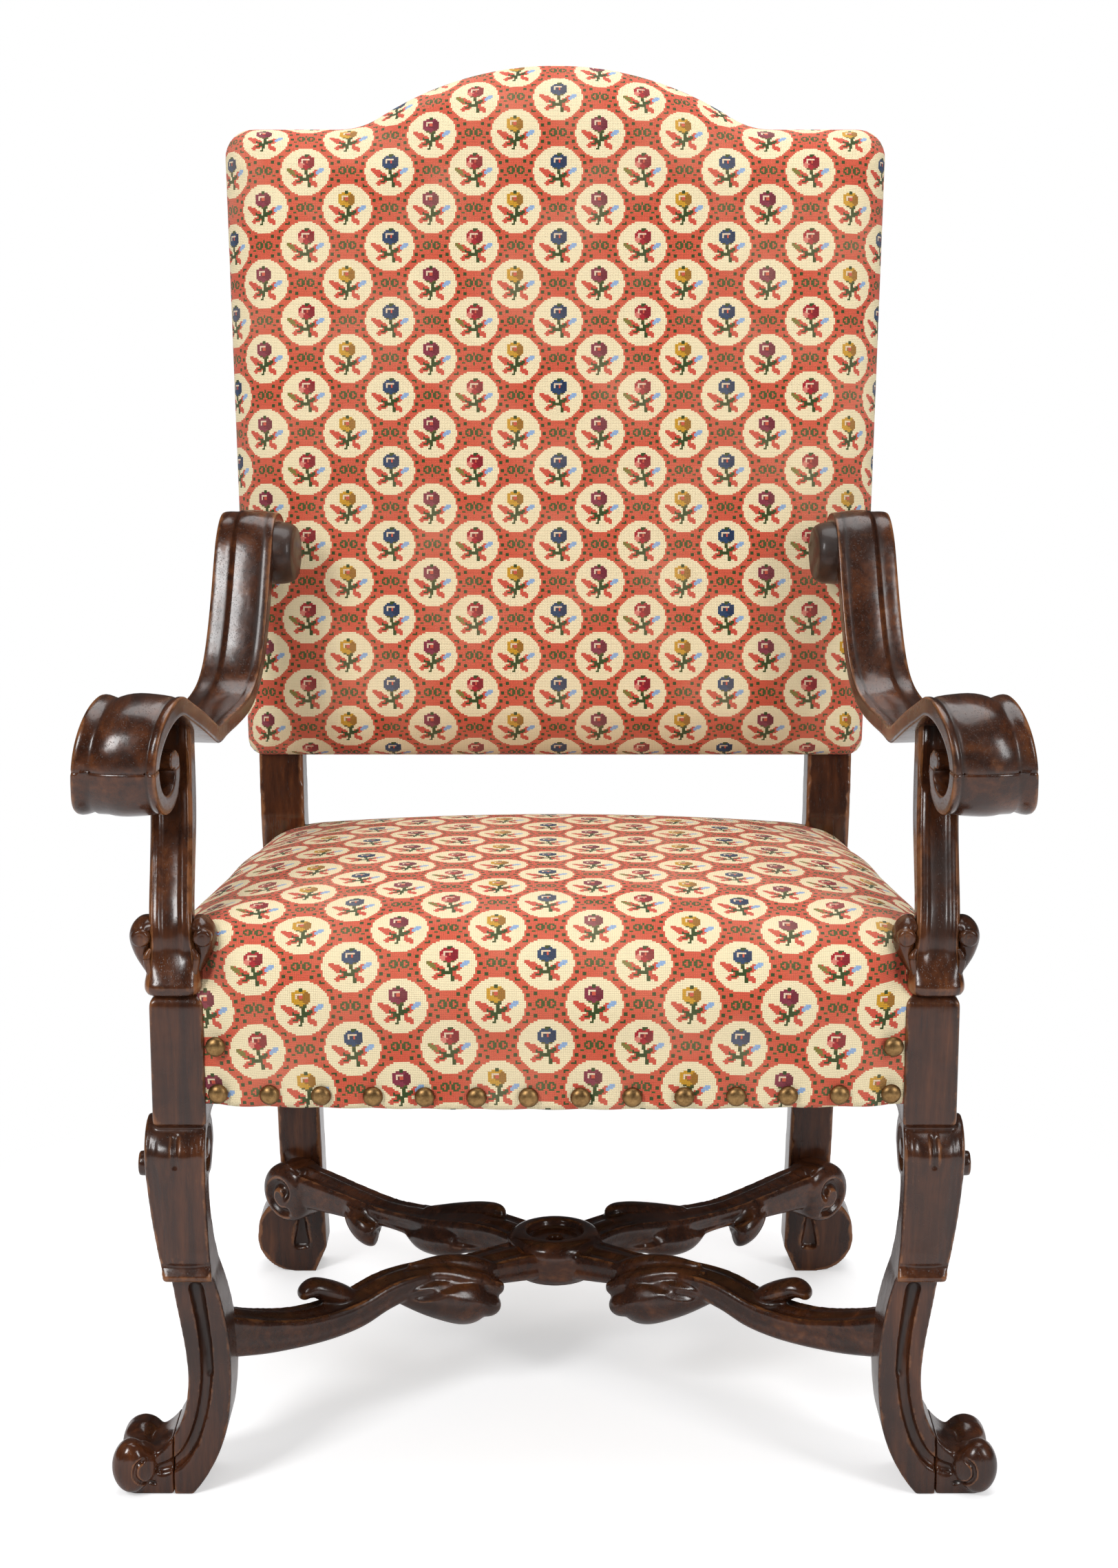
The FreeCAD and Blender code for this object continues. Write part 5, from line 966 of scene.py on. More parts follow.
def front_arm():
    """Forms of a front arm: the bar, a big lobed bud near the boss and a curled leaf on its back."""
    top = [(25, 121), (60, 122), (92, 122), (128, 126), (160, 129), (190, 127), (227, 118), (270, 117),
           (312, 126), (351, 140), (376, 149)]
    low = [(25, 92), (60, 96), (92, 100), (128, 104), (160, 107), (190, 102), (220, 92.5), (258, 89),
           (308, 91.5), (348, 97.5), (376, 102)]
    half = [(25, 25), (60, 22), (92, 20), (128, 19), (190, 19), (227, 19.5), (270, 20), (312, 21), (376, 23)]
    bar = moulded_bar(top, low, half, 25, 372)
    lobes = [limb(spine, radii, sides=sides) for spine, radii, sides in (
        ([(194, 0, 120), (168, 6, 112), (138, 12, 102), (110, 17, 95), (92, 17, 95)],
         (4, 13, 20, 23, 13), 32),
        ([(180, 10, 119), (148, 20, 110), (118, 29, 99), (97, 31, 90), (86, 26, 89)],
         (3, 7.5, 10, 10.5, 6), 28),
        ([(170, 6, 128), (134, 14, 122), (108, 22, 113), (88, 26, 104), (79, 23, 100)],
         (3, 8, 9.5, 9, 5), 28),
        ([(160, -2, 131), (128, 4, 128), (104, 10, 123), (86, 14, 116), (78, 13, 110)],
         (3, 8, 9, 8, 5), 28),
        ([(176, -6, 120), (146, -12, 112), (118, -14, 104), (96, -10, 102)],
         (4, 11, 12, 6), 28),
    )]
    curl = limb([(212, -5, 112), (228, -6, 119), (243, -7, 127), (255, -8, 132), (264, -8, 129),
                 (263, -8, 124)], (6, 10, 10, 8.5, 6.5, 3), flat=1.35, facing=(0, 1, 0), sides=24)
    return [bar, curl] + lobes


def rear_arm():
    """Forms of a rear arm: the bar, a broad leaf at the boss, a hanging bud and a volute at the post."""
    top = [(25, 120), (57, 123), (85, 123), (115, 119), (146, 113), (200, 108), (249, 112), (300, 118),
           (345, 121)]
    low = [(25, 94), (57, 98), (80, 91), (105, 85), (138, 82), (167, 87), (195, 88), (234, 85.5), (265, 84.5),
           (303, 82), (345, 76)]
    half = [(25, 24), (57, 22), (95, 25), (128, 24), (165, 20), (200, 18), (250, 18.5), (300, 20), (345, 21)]
    bar = moulded_bar(top, low, half, 25, 336)
    leaf_tip = limb([(158, -2, 110), (122, -8, 117), (94, -11, 124), (76, -11, 127), (70, -10, 121)],
                    (6, 10, 9.5, 7, 3), flat=0.8, sides=24)
    belly = limb([(176, 9, 95), (142, 17, 92), (108, 18, 97), (78, 13, 104)], (5, 12.5, 13, 5), sides=24)
    bud = limb([(250, 8, 99), (233, 14, 93), (219, 17, 85), (210, 17, 78), (206, 16, 77)],
               (6, 13, 14.5, 11.5, 5), sides=28)
    volute = limb([(VOLUTE[0], y, VOLUTE[1]) for y in (-22, -21, -15, 0, 15, 21, 23.5)],
                  (11, 22, 29, 30, 29, 22, 9), sides=48)
    return [bar, leaf_tip, belly, bud, volute]


def volute_spiral():
    """The groove that winds in to the eye of a volute."""
    along, height = VOLUTE
    turns = [(21 - 2.3 * k, 0.8 * k - 2.2) for k in range(9)]
    return [(along + radius * math.cos(turn), 22, height + radius * math.sin(turn)) for radius, turn in turns]


def stretcher_boss():
    """The turned boss where the arms cross, dished on top and bored for a finial."""
    outline = [(0.1, 88), (34, 88), (40, 94), (42.5, 104), (44, 116), (42.5, 123), (39, 128), (34, 130),
               (28.5, 130.3), (26.5, 129.5), (25.4, 126), (24.2, 122.5), (22, 122), (8.5, 122), (6.6, 121),
               (6.2, 118), (6.2, 98), (0.1, 97)]
    angles = np.linspace(0, 2 * math.pi, 64, endpoint=False)
    rings = [[(r * math.cos(a), BOSS_Y + r * math.sin(a), z) for a in angles] for r, z in outline]
    return skin(np.array(rings))


def carve_stretcher(name, front_side, with_boss, material):
    """One diagonal of the stretcher, from a front leg to the post across from it."""
    def placed(form, end):
        on_left = along_arm(form, end)
        side = front_side if end == FRONT_END else -front_side
        return on_left if side < 0 else across_x(on_left)

    forms = [placed(form, FRONT_END) for form in front_arm()]
    forms += [placed(form, REAR_END) for form in rear_arm()]
    if with_boss:
        forms.append(stretcher_boss())
    piece = Carving(forms, 1.5)
    piece.smooth(3)
    grooves = ((volute_spiral(), REAR_END, 7.0, 6.0), (FRONT_HOLLOW, FRONT_END, 6.5, 2.6),
               (REAR_HOLLOW, REAR_END, 6.5, 2.6))
    for line, end, width, depth in grooves:
        piece.groove(placed((np.array(line, float), []), end)[0], width, depth)
    new_piece(f"carved_stretcher_{name}", piece.points, piece.faces, material,
              [f"stretcher_{name}_diagonal"], marks=piece.marks())


def carve_post():
    """The right rear post, its edges eased."""
    post = Carving([node_form("right_rear_post")], 2.2)
    post.smooth(2)
    return post


def carve_pieces():
    """Every carved piece of the frame."""
    carve_arms()
    carve_supports()
    pairs = (("front_leg", carve_front_leg()), ("front_toe", carve_toe()), ("rear_post", carve_post()))
    for name, piece in pairs:
        carved_pair(name, piece.points, piece.faces, piece.marks(), upright_walnut)
    carve_stretcher("upper", 1, True, falling_diagonal_walnut)
    carve_stretcher("lower", -1, False, rising_diagonal_walnut)


def finish_hidden(nodes, material):
    """Gives the solids that stay as they are their wood."""
    for node in nodes:
        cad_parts[node].data.materials.clear()
        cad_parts[node].data.materials.append(material)


carve_pieces()
finish_hidden(("front_seat_rail", "rear_seat_rail", "crest_rail", "lower_back_rail"), level_walnut)
finish_hidden(("left_seat_rail", "right_seat_rail"), fore_and_aft_walnut)
finish_hidden(("support_dowels", "arm_dowels"), upright_walnut)


# Upholstery

RAKE = math.radians(9)
BACK_ORIGIN_Y, BACK_ORIGIN_Z = 201.9, 480
BACK_LOW, BACK_HIGH, CREST_RISE = 51.6, 705.2, 60
BACK_MIDDLE = (BACK_LOW + BACK_HIGH) / 2
SHOULDER = BACK_HIGH - CREST_RISE
BACK_HALF_LOW, BACK_HALF_HIGH = 294.5, 313.2
CREST_RADIUS, SCOOP_RADIUS = 310, 70
POST_THICKNESS, BACK_PADDING = 43.5, 34
SEAT_FRONT, SEAT_REAR = -295.1, 205.1
SEAT_MIDDLE = (SEAT_FRONT + SEAT_REAR) / 2
SEAT_HALF_FRONT, SEAT_HALF_REAR = 333.0, 284.8
SEAT_BOTTOM, SEAT_TOP = 340, 504
SEAT_BOW = 14
CORNER = 26


def on_back(x, w, n):
    """Back upholstery frame: X across, W up along the raked posts, N forward from their rear face."""
    c, s = math.cos(RAKE), math.sin(RAKE)
    return np.stack([x, BACK_ORIGIN_Y + w * s - n * c, BACK_ORIGIN_Z + w * c + n * s], axis=-1)


def off_back(points):
    """Places in the back's own frame."""
    y, z = points[:, 1] - BACK_ORIGIN_Y, points[:, 2] - BACK_ORIGIN_Z
    c, s = math.cos(RAKE), math.sin(RAKE)
    return np.stack([points[:, 0], y * s + z * c, z * s - y * c], axis=1)


def on_seat(x, y, z):
    """Seat upholstery frame: the chair's own."""
    return np.stack([x, y, z], axis=-1)


def even_loop(points, count):
    """A closed line of evenly spaced points, and the way outwards at each."""
    points = np.asarray(points, float)
    closed = np.vstack([points, points[:1]])
    far = np.concatenate([[0], np.cumsum(np.linalg.norm(np.diff(closed, axis=0), axis=1))])
    places = np.linspace(0, far[-1], count, endpoint=False)
    loop = np.stack([np.interp(places, far, closed[:, k]) for k in (0, 1)], axis=1)
    ahead = np.roll(loop, -2, axis=0) - np.roll(loop, 2, axis=0)
    ahead /= np.linalg.norm(ahead, axis=1)[:, None]
    return loop, np.stack([ahead[:, 1], -ahead[:, 0]], axis=1)


def bend(middle, radius, start, stop, count=12):
    """Points of an arc, with its angles in degrees."""
    angles = np.radians(np.linspace(start, stop, count))
    return [(middle[0] + radius * math.cos(a), middle[1] + radius * math.sin(a)) for a in angles]


def back_outline():
    """The back's outline, the right half from the foot up and then the left half down."""
    foot = CORNER * 0.6
    reach = math.degrees(math.acos(1 - CREST_RISE / (CREST_RADIUS + SCOOP_RADIUS)))
    scoop_x = (CREST_RADIUS + SCOOP_RADIUS) * math.sin(math.radians(reach))
    right = [(0, BACK_LOW)]
    right += bend((BACK_HALF_LOW - foot, BACK_LOW + foot), foot, -90, 0)
    right += bend((BACK_HALF_HIGH - CORNER, SHOULDER - CORNER), CORNER, 0, 90)
    right += bend((scoop_x, SHOULDER + SCOOP_RADIUS), SCOOP_RADIUS, -90, -90 - reach, 14)
    right += bend((0, BACK_HIGH - CREST_RADIUS), CREST_RADIUS, 90 - reach, 90, 20)
    return right + [(-x, w) for x, w in right[-2:0:-1]]


def seat_outline():
    """The seat in plan: a bowed front, sides that close towards the back, and a straight rear."""
    bow = (SEAT_HALF_FRONT ** 2 + SEAT_BOW ** 2) / (2 * SEAT_BOW)
    flat = SEAT_HALF_FRONT - CORNER
    front = [(x, SEAT_FRONT - SEAT_BOW + bow - math.sqrt(bow ** 2 - x ** 2))
             for x in np.linspace(0, flat, 30)]
    right = front + bend((flat, SEAT_FRONT + CORNER), CORNER, -78, 0)
    right += bend((SEAT_HALF_REAR - CORNER, SEAT_REAR - CORNER), CORNER, 0, 90) + [(0, SEAT_REAR)]
    return right + [(-x, y) for x, y in right[-2:0:-1]]


# How a cover is pressed out: how much smaller it starts, how far it may swell, the frames and the pressure.
SLACK, MOST_SWELL, PRESS_FRAMES, PRESSURE = 3.0, 22, 20, 4


class Cover:
    """A cloth pulled over a padded form: rings of the outline, drawn in as they rise to the middle."""

    def __init__(self, outline, count, middle, profile, span, spacing, to_space):
        loop, outwards = even_loop(outline, count)
        line = smooth_line([(scale * span, depth) for scale, depth in profile], 400)
        runs = np.linalg.norm(np.diff(line, axis=0), axis=1)
        far = np.concatenate([[0], np.cumsum(runs)])
        places = np.linspace(0, far[-1], int(far[-1] / spacing))
        scale = np.interp(places, far, line[:, 0]) / span
        depth = np.interp(places, far, line[:, 1])
        scale[-1] = 0.004
        slack = (far[-1] - places) - scale * span
        centre = np.array([0, middle])
        flat = centre + (loop - centre)[None] * scale[:, None, None]
        self.uv = (flat + outwards[None] * slack[:, None, None]).reshape(-1, 2)
        level = np.broadcast_to(depth[:, None], flat.shape[:2])
        self.points = to_space(flat[..., 0], flat[..., 1], level).reshape(-1, 3)
        here = np.arange((len(scale) - 1) * count).reshape(-1, count)
        after = np.roll(here, -1, axis=1)
        self.faces = np.stack([here, after, after + count, here + count], axis=-1).reshape(-1, 4)
        self.cap = tuple(range(len(self.points) - count, len(self.points)))

    def cut(self, zone):
        """Leaves out the faces whose middles lie in a zone."""
        middles = self.points[self.faces].mean(axis=1)
        self.faces = self.faces[~zone(middles)]

    def all_faces(self):
        return [tuple(face) for face in self.faces] + [self.cap]

    def normals(self):
        return skin_normals(self.points, self.faces)

    def plump(self, held):
        """Presses the cloth out from within, held fast where it is nailed or lies on wood."""
        start = self.points - self.normals() * (SLACK * (1 - held))[:, None]
        mesh = bpy.data.meshes.new("pressed_cloth")
        mesh.from_pydata(start * MM, [], self.all_faces())
        sheet = add_object("pressed_cloth", mesh)
        pins = sheet.vertex_groups.new(name="held")
        for level in range(1, 11):
            pins.add(np.flatnonzero(np.round(held * 10) == level).tolist(), level / 10, "REPLACE")
        cloth = sheet.modifiers.new("cloth", "CLOTH")
        cloth.settings.vertex_group_mass = "held"
        cloth.settings.use_pressure = True
        cloth.settings.uniform_pressure_force = PRESSURE
        cloth.settings.effector_weights.gravity = 0
        cloth.settings.quality = 3
        cloth.collision_settings.use_collision = False
        for step in range(1, PRESS_FRAMES + 1):
            bpy.context.scene.frame_set(step)
        pressed = sheet.evaluated_get(bpy.context.evaluated_depsgraph_get()).data
        move = read(pressed.vertices, "co", 3, np.float32) / MM - start
        length = np.linalg.norm(move, axis=1)[:, None]
        self.points = start + move * np.minimum(1, MOST_SWELL / length.clip(1e-6))
        bpy.data.objects.remove(sheet)
        bpy.data.meshes.remove(mesh)
        bpy.context.scene.frame_set(1)


BACK_PROFILE = [(0.95, -0.6), (0.985, -0.4), (0.994, 2), (1, POST_THICKNESS * 0.5), (1, POST_THICKNESS)] + [
    (scale, POST_THICKNESS + BACK_PADDING * share) for share, scale in
    ((0.40, 0.992), (0.66, 0.975), (0.84, 0.948), (0.94, 0.90), (0.985, 0.75), (1, 0.45), (1.01, 0))]
SEAT_PROFILE = [(0.95, SEAT_BOTTOM + 3), (0.975, SEAT_BOTTOM + 0.6), (0.993, SEAT_BOTTOM + 0.4)] + [
    (scale, SEAT_BOTTOM + (SEAT_TOP - SEAT_BOTTOM) * share) for share, scale in
    ((0.03, 1), (0.14, 1), (0.3, 1.004), (0.5, 1), (0.62, 0.992), (0.72, 0.975), (0.8, 0.945), (0.87, 0.895),
     (0.93, 0.81), (0.97, 0.68), (1, 0.37), (1.005, 0))]


# Nails: their least spacing, where a head sits outwards from its nail's middle, and its size and tilt.
NAIL_SPACING, HEAD_SEAT = 22, 5.2
HEAD_RADIUS, DOME_HEIGHT, NAIL_TILT = 8.25, 5.0, 0.07
NAIL_ROWS = ("front_nails", "left_side_nails", "right_side_nails")
FRONT_BOW, SIDE_TAPER = 3967, 0.0964


def nail_spots(node):
    """The middle of each nail of a CAD node."""
    points, _ = node_form(node)
    heaps = []
    for point in points:
        for heap in heaps:
            if np.linalg.norm(point - heap[0]) < NAIL_SPACING:
                heap.append(point)
                break
        else:
            heaps.append([point])
    return [np.mean([np.min(heap, axis=0), np.max(heap, axis=0)], axis=0) for heap in heaps]


def nail_group():
    """Dome-headed nails on points: each stands outwards from its point and is turned a little by chance."""
    group = bpy.data.node_groups.new("dome_nails", "GeometryNodeTree")
    group.is_modifier = True
    face = group.interface
    face.new_socket("Geometry", in_out="INPUT", socket_type="NodeSocketGeometry")
    for label, kind in (("Head Radius", "Float"), ("Dome Height", "Float"), ("Tilt", "Float"),
                        ("Seed", "Int"), ("Metal", "Material")):
        face.new_socket(label, in_out="INPUT", socket_type="NodeSocket" + kind)
    face.new_socket("Geometry", in_out="OUTPUT", socket_type="NodeSocketGeometry")

    def node(kind, sockets=None, **settings):
        made = group.nodes.new(kind)
        for key, value in settings.items():
            setattr(made, key, value)
        for key, value in (sockets or {}).items():
            if isinstance(value, bpy.types.NodeSocket):
                group.links.new(value, made.inputs[key])
            else:
                made.inputs[key].default_value = value
        return made

    given = node("NodeGroupInput").outputs
    ball = node("GeometryNodeMeshUVSphere", {"Segments": 28, "Rings": 18, "Radius": 1.0}).outputs["Mesh"]
    place = node("GeometryNodeInputPosition").outputs[0]
    height = node("ShaderNodeSeparateXYZ", {0: place}).outputs["Z"]
    below = node("FunctionNodeCompare", {"A": height, "B": -0.3}, data_type="FLOAT",
                 operation="LESS_THAN").outputs[0]
    dome = node("GeometryNodeDeleteGeometry", {"Geometry": ball, "Selection": below}).outputs[0]
    dome = node("GeometryNodeStoreNamedAttribute", {"Geometry": dome, "Name": "crown", "Value": height},
                data_type="FLOAT", domain="POINT").outputs[0]
    size = node("ShaderNodeCombineXYZ", {"X": given["Head Radius"], "Y": given["Head Radius"],
                                         "Z": given["Dome Height"]}).outputs[0]
    head = node("GeometryNodeTransform", {"Geometry": dome, "Scale": size}).outputs[0]
    head = node("GeometryNodeSetShadeSmooth", {"Geometry": head}).outputs[0]
    outward = node("GeometryNodeInputNamedAttribute", {"Name": "outward"},
                   data_type="FLOAT_VECTOR").outputs[0]
    stand = node("FunctionNodeAlignRotationToVector", {"Vector": outward}, axis="Z").outputs[0]
    least = node("ShaderNodeMath", {0: given["Tilt"], 1: -1.0}, operation="MULTIPLY").outputs[0]
    chance = node("FunctionNodeRandomValue", {"Min": least, "Max": given["Tilt"], "Seed": given["Seed"]},
                  data_type="FLOAT_VECTOR").outputs[0]
    lean = node("FunctionNodeEulerToRotation", {0: chance}).outputs[0]
    turn = node("FunctionNodeRotateRotation", {"Rotation": stand, "Rotate By": lean},
                rotation_space="LOCAL").outputs[0]
    points = node("GeometryNodeMeshToPoints", {"Mesh": given["Geometry"]}).outputs[0]
    nails = node("GeometryNodeInstanceOnPoints", {"Points": points, "Instance": head,
                                                  "Rotation": turn}).outputs[0]
    nails = node("GeometryNodeRealizeInstances", {"Geometry": nails}).outputs[0]
    nails = node("GeometryNodeSetMaterial", {"Geometry": nails, "Material": given["Metal"]}).outputs[0]
    group.links.new(nails, node("NodeGroupOutput").inputs[0])
    return group


def drive_nails(group, name, node, outward_at, seed):
    """One row of nails on its own points, where the CAD node has its nails."""
    middles = np.array(nail_spots(node))
    outward = np.array([outward_at(x) for x in middles[:, 0]])
    outward /= np.linalg.norm(outward, axis=1)[:, None]
    seats = middles + outward * HEAD_SEAT
    mesh = bpy.data.meshes.new(name + "_points")
    mesh.from_pydata(seats * MM, [], [])
    ways = mesh.attributes.new("outward", "FLOAT_VECTOR", "POINT")
    ways.data.foreach_set("vector", outward.astype(np.float32).ravel())
    row = add_object(name, mesh)
    modifier = row.modifiers.new("nails", "NODES")
    modifier.node_group = group
    chosen = {"Head Radius": HEAD_RADIUS * MM, "Dome Height": DOME_HEIGHT * MM, "Tilt": NAIL_TILT,
              "Seed": seed, "Metal": brass}
    for item in group.interface.items_tree:
        if item.in_out == "INPUT" and item.name in chosen:
            modifier[item.identifier] = chosen[item.name]
    row.update_tag()
    made = bpy.data.meshes.new_from_object(row.evaluated_get(bpy.context.evaluated_depsgraph_get()))
    row.modifiers.remove(modifier)
    row.data = made
    bpy.data.meshes.remove(mesh)
    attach(row, "root")
    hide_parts(node)


def make_nails():
    """The rows of nails along the seat's front and sides."""
    group = nail_group()
    drive_nails(group, "front_nail_row", "front_nails", lambda x: (x / FRONT_BOW, -1, 0), 3)
    drive_nails(group, "left_nail_row", "left_side_nails", lambda x: (-1, SIDE_TAPER, 0), 5)
    drive_nails(group, "right_nail_row", "right_side_nails", lambda x: (1, SIDE_TAPER, 0), 8)


# The seat's cloth round the wood: where it stops in the blocks and supports, and where it is tucked in.
BLOCK_INNER, BLOCK_REAR = 289, -256
SUPPORT_INNER, SUPPORT_REAR = 297, -258
BLOCK_FACE, BLOCK_SIDE = -292.5, 321
# The dip that a nail makes, and how far it reaches.
NAIL_DIP, NAIL_DIP_REACH = 2.2, 13
# The front nails' height, and where the seat's foremost cloth lies.
FRONT_ROW_Z, SEAT_NOSE = 395.3, -309


def under_wood(middles):
    """Where the seat's cover stops inside the front blocks, the arm supports and the posts."""
    x, y, z = np.abs(middles[:, 0]), middles[:, 1], middles[:, 2]
    in_block = (x > BLOCK_INNER) & (y < BLOCK_REAR) & (z < BLOCK_TOP)
    in_support = (x > SUPPORT_INNER) & (y < SUPPORT_REAR) & (z >= BLOCK_TOP)
    in_post = (x > 232 + 0.0236 * z) & (y > 161 + (480 - z) * 0.073)
    return in_block | in_support | in_post


def shape_seat(cover):
    """The seat's padding: lower at the rear and its corners, full at the sides, tucked in beside the wood."""
    x, y, z = cover.points.T
    rise = ((z - 430) / 70).clip(0, 1)
    z -= rise * (10 * fade(y, -170, 170) + 3 * (np.abs(x) / 250) ** 2)
    z -= rise * 8 * fade(y, 0, 160) * (np.abs(x) / 250) ** 2
    full = 9 * hump(z, 458, 30) * band(y, -200, 110, 60)
    x += full * np.sign(x) * fade(np.abs(x), 200, 270)
    corner = fade(np.abs(x), 258, 286) * (y < -200)
    y += corner * (BLOCK_FACE + 22 * fade(z, BLOCK_TOP - 6, BLOCK_TOP + 16) - y).clip(0)
    beside = fade(-y, 238, 250) * (np.abs(x) - BLOCK_SIDE + 9 * fade(z, CAD_BLOCK_TOP, 470)).clip(0)
    x -= np.sign(x) * beside * (np.abs(x) > 300)
    pull = np.zeros(len(x))
    for node in NAIL_ROWS:
        for spot in nail_spots(node):
            pull -= NAIL_DIP * hump(np.linalg.norm(cover.points - spot, axis=1), 0, NAIL_DIP_REACH)
    cover.points += cover.normals() * pull[:, None]


def seat_held(points):
    """How fast the seat's cloth is held: at its nails, beside the wood and along the rear."""
    x, y, z = points.T
    beside_wood = fade(np.abs(x), 225, 270) * np.maximum(fade(y, 90, 150), fade(-y, 190, 240))
    held = np.maximum(1 - fade(z, 372, 410), beside_wood)
    return np.maximum(held, fade(y, 150, 190))


def make_seat_cover():
    """The seat's figured cover, with a row of medallions set on the front nails."""
    cover = Cover(seat_outline(), 372, SEAT_MIDDLE, SEAT_PROFILE, span=260, spacing=6.0, to_space=on_seat)
    shape_seat(cover)
    cover.plump(seat_held(cover.points))
    x, y, z = cover.points.T
    front = np.argsort(np.abs(x) + (y - SEAT_NOSE).clip(0) * 10)[:30]
    front = front[np.argsort(z[front])]
    row_at = np.interp(FRONT_ROW_Z, z[front], cover.uv[front, 1])
    cover.cut(under_wood)
    material = figured_cloth("figured_seat_cloth", -7.0, row_at)
    seat = new_piece("seat_cloth", cover.points, cover.all_faces(), material,
                     ["seat_cover", "seat_stuffing"], uv=cover.uv)


def make_back_cover():
    """The back's figured cover, held round the posts and pressed out in front."""
    cover = Cover(back_outline(), 420, BACK_MIDDLE, BACK_PROFILE, span=300, spacing=6.0, to_space=on_back)
    forward = off_back(cover.points)[:, 2]
    cover.plump(1 - fade(forward, POST_THICKNESS, POST_THICKNESS + 22))
    material = figured_cloth("figured_back_cloth", 2.6, 321.0)
    back = new_piece("back_cloth", cover.points, cover.all_faces(), material,
                     ["back_cover", "back_stuffing"], uv=cover.uv)


def make_outside_back():
    """The plain cloth behind the back, its edge turned under."""
    profile = [(0.955, -0.4), (0.98, -0.5), (0.986, -1.4), (0.98, -2.4), (0.9, -2.8), (0.4, -2.2), (0, -2.0)]
    cover = Cover(back_outline(), 300, BACK_MIDDLE, profile, span=300, spacing=7.0, to_space=on_back)
    faces = [face[::-1] for face in cover.all_faces()]
    # The pale colour is the lit thread crowns and the dark one the painted shade between threads.
    material = plain_cloth("plain_back_cloth", tint(172, 92, 68), tint(112, 54, 40), 0.9)
    new_piece("outside_back_cloth", cover.points, faces, material, ["outside_back"],
              uv=cover.uv)


def strip(far, low, high, level, lengthwise):
    """A closed strip in its own frame, from places along it, its two edges and its two levels there."""
    share = np.concatenate([np.linspace(0, 1, 8), np.linspace(1, 0, 8)])
    upper = np.repeat([1.0, 0.0], 8)
    rings = np.zeros((len(far), 16, 3))
    rings[..., lengthwise] = far[:, None]
    rings[..., 1 - lengthwise] = low[:, None] + share * (high - low)[:, None]
    rings[..., 2] = level[0][:, None] + upper * (level[1] - level[0])[:, None]
    return skin(rings)


def parts_of(form):
    """The box of each separate solid in a form."""
    points, faces = form
    owner = np.arange(len(points))
    changed = True
    while changed:
        before = owner.copy()
        for face in faces:
            owner[list(face)] = owner[list(face)].min()
        changed = (owner != before).any()
    return [(points[owner == k].min(axis=0), points[owner == k].max(axis=0)) for k in np.unique(owner)]


# How far a strap rises over the next one, and how fast it winds between them.
STRAP_STEP, STRAP_RISE, STRAP_WINDING = 6.0, 0.7, 26


def make_webbing(name, node, into, out_of):
    """Woven straps that pass over and under each other in turn."""
    points, faces = node_form(node)
    webbing = Assembly()
    for number, (low, high) in enumerate(parts_of((into(points), faces))):
        lengthwise = int(high[1] - low[1] > high[0] - low[0])
        first_way = -1 if number % 2 else 1
        far = np.arange(low[lengthwise], high[lengthwise], STRAP_STEP)
        wave = STRAP_RISE * first_way * np.cos(far / STRAP_WINDING)
        edges = [np.full(len(far), side[1 - lengthwise]) for side in (low, high)]
        webbing.add(strip(far, *edges, (low[2] + wave, high[2] + wave), lengthwise))
    new_piece(name, out_of(*webbing.points.T), webbing.faces, jute, [node],
              uv=webbing.points[:, :2])


def make_hessian(name, node, into, out_of):
    """A thin sheet over the straps, uneven where the stuffing presses on it."""
    points, faces = node_form(node)
    points = into(points)
    ends = np.array([(face[k - 1], face[k]) for face in faces for k in range(len(face))])
    low, high = points.min(axis=0), points.max(axis=0)
    far = np.arange(low[1] + 1, high[1] - 1, 7.0)
    edges = []
    for y in far:
        a, b = points[ends[:, 0]], points[ends[:, 1]]
        crossing = (a[:, 1] - y) * (b[:, 1] - y) < 0
        a, b = a[crossing], b[crossing]
        x = a[:, 0] + (b[:, 0] - a[:, 0]) * (y - a[:, 1]) / (b[:, 1] - a[:, 1])
        edges.append((x.min(), x.max()))
    wave = 0.4 * np.sin(far / 17) + 0.3 * np.sin(far / 7.3)
    sheet = Assembly()
    sheet.add(strip(far, *np.array(edges).T, (low[2] + wave, high[2] + wave), 1))
    new_piece(name, out_of(*sheet.points.T), sheet.faces, hessian, [node], uv=sheet.points[:, :2])


# Each pale colour is the lit thread crowns and each dark one the painted shade between threads.
jute = plain_cloth("jute_webbing", tint(182, 152, 108), tint(112, 86, 54), 1.7)
hessian = plain_cloth("hessian_cloth", tint(170, 140, 98), tint(98, 76, 48), 1.3)
make_webbing("seat_straps", "seat_webbing", np.asarray, on_seat)
make_webbing("back_straps", "back_webbing", off_back, on_back)
make_hessian("seat_sacking", "seat_hessian", np.asarray, on_seat)
make_hessian("back_sacking", "back_hessian", off_back, on_back)
make_seat_cover()
make_back_cover()
make_outside_back()
make_nails()


# Floor, light and camera

FLOOR_GLOW, FLOOR_REACH = 0.42, 0.62
ROOM_LIGHT, ROOM_IN_REFLECTIONS = 0.46, 0.06
PHOTO_PIXELS, FOCAL_PIXELS, SENSOR_HEIGHT, CAMERA_DIP = 2278, 4000, 36, 12


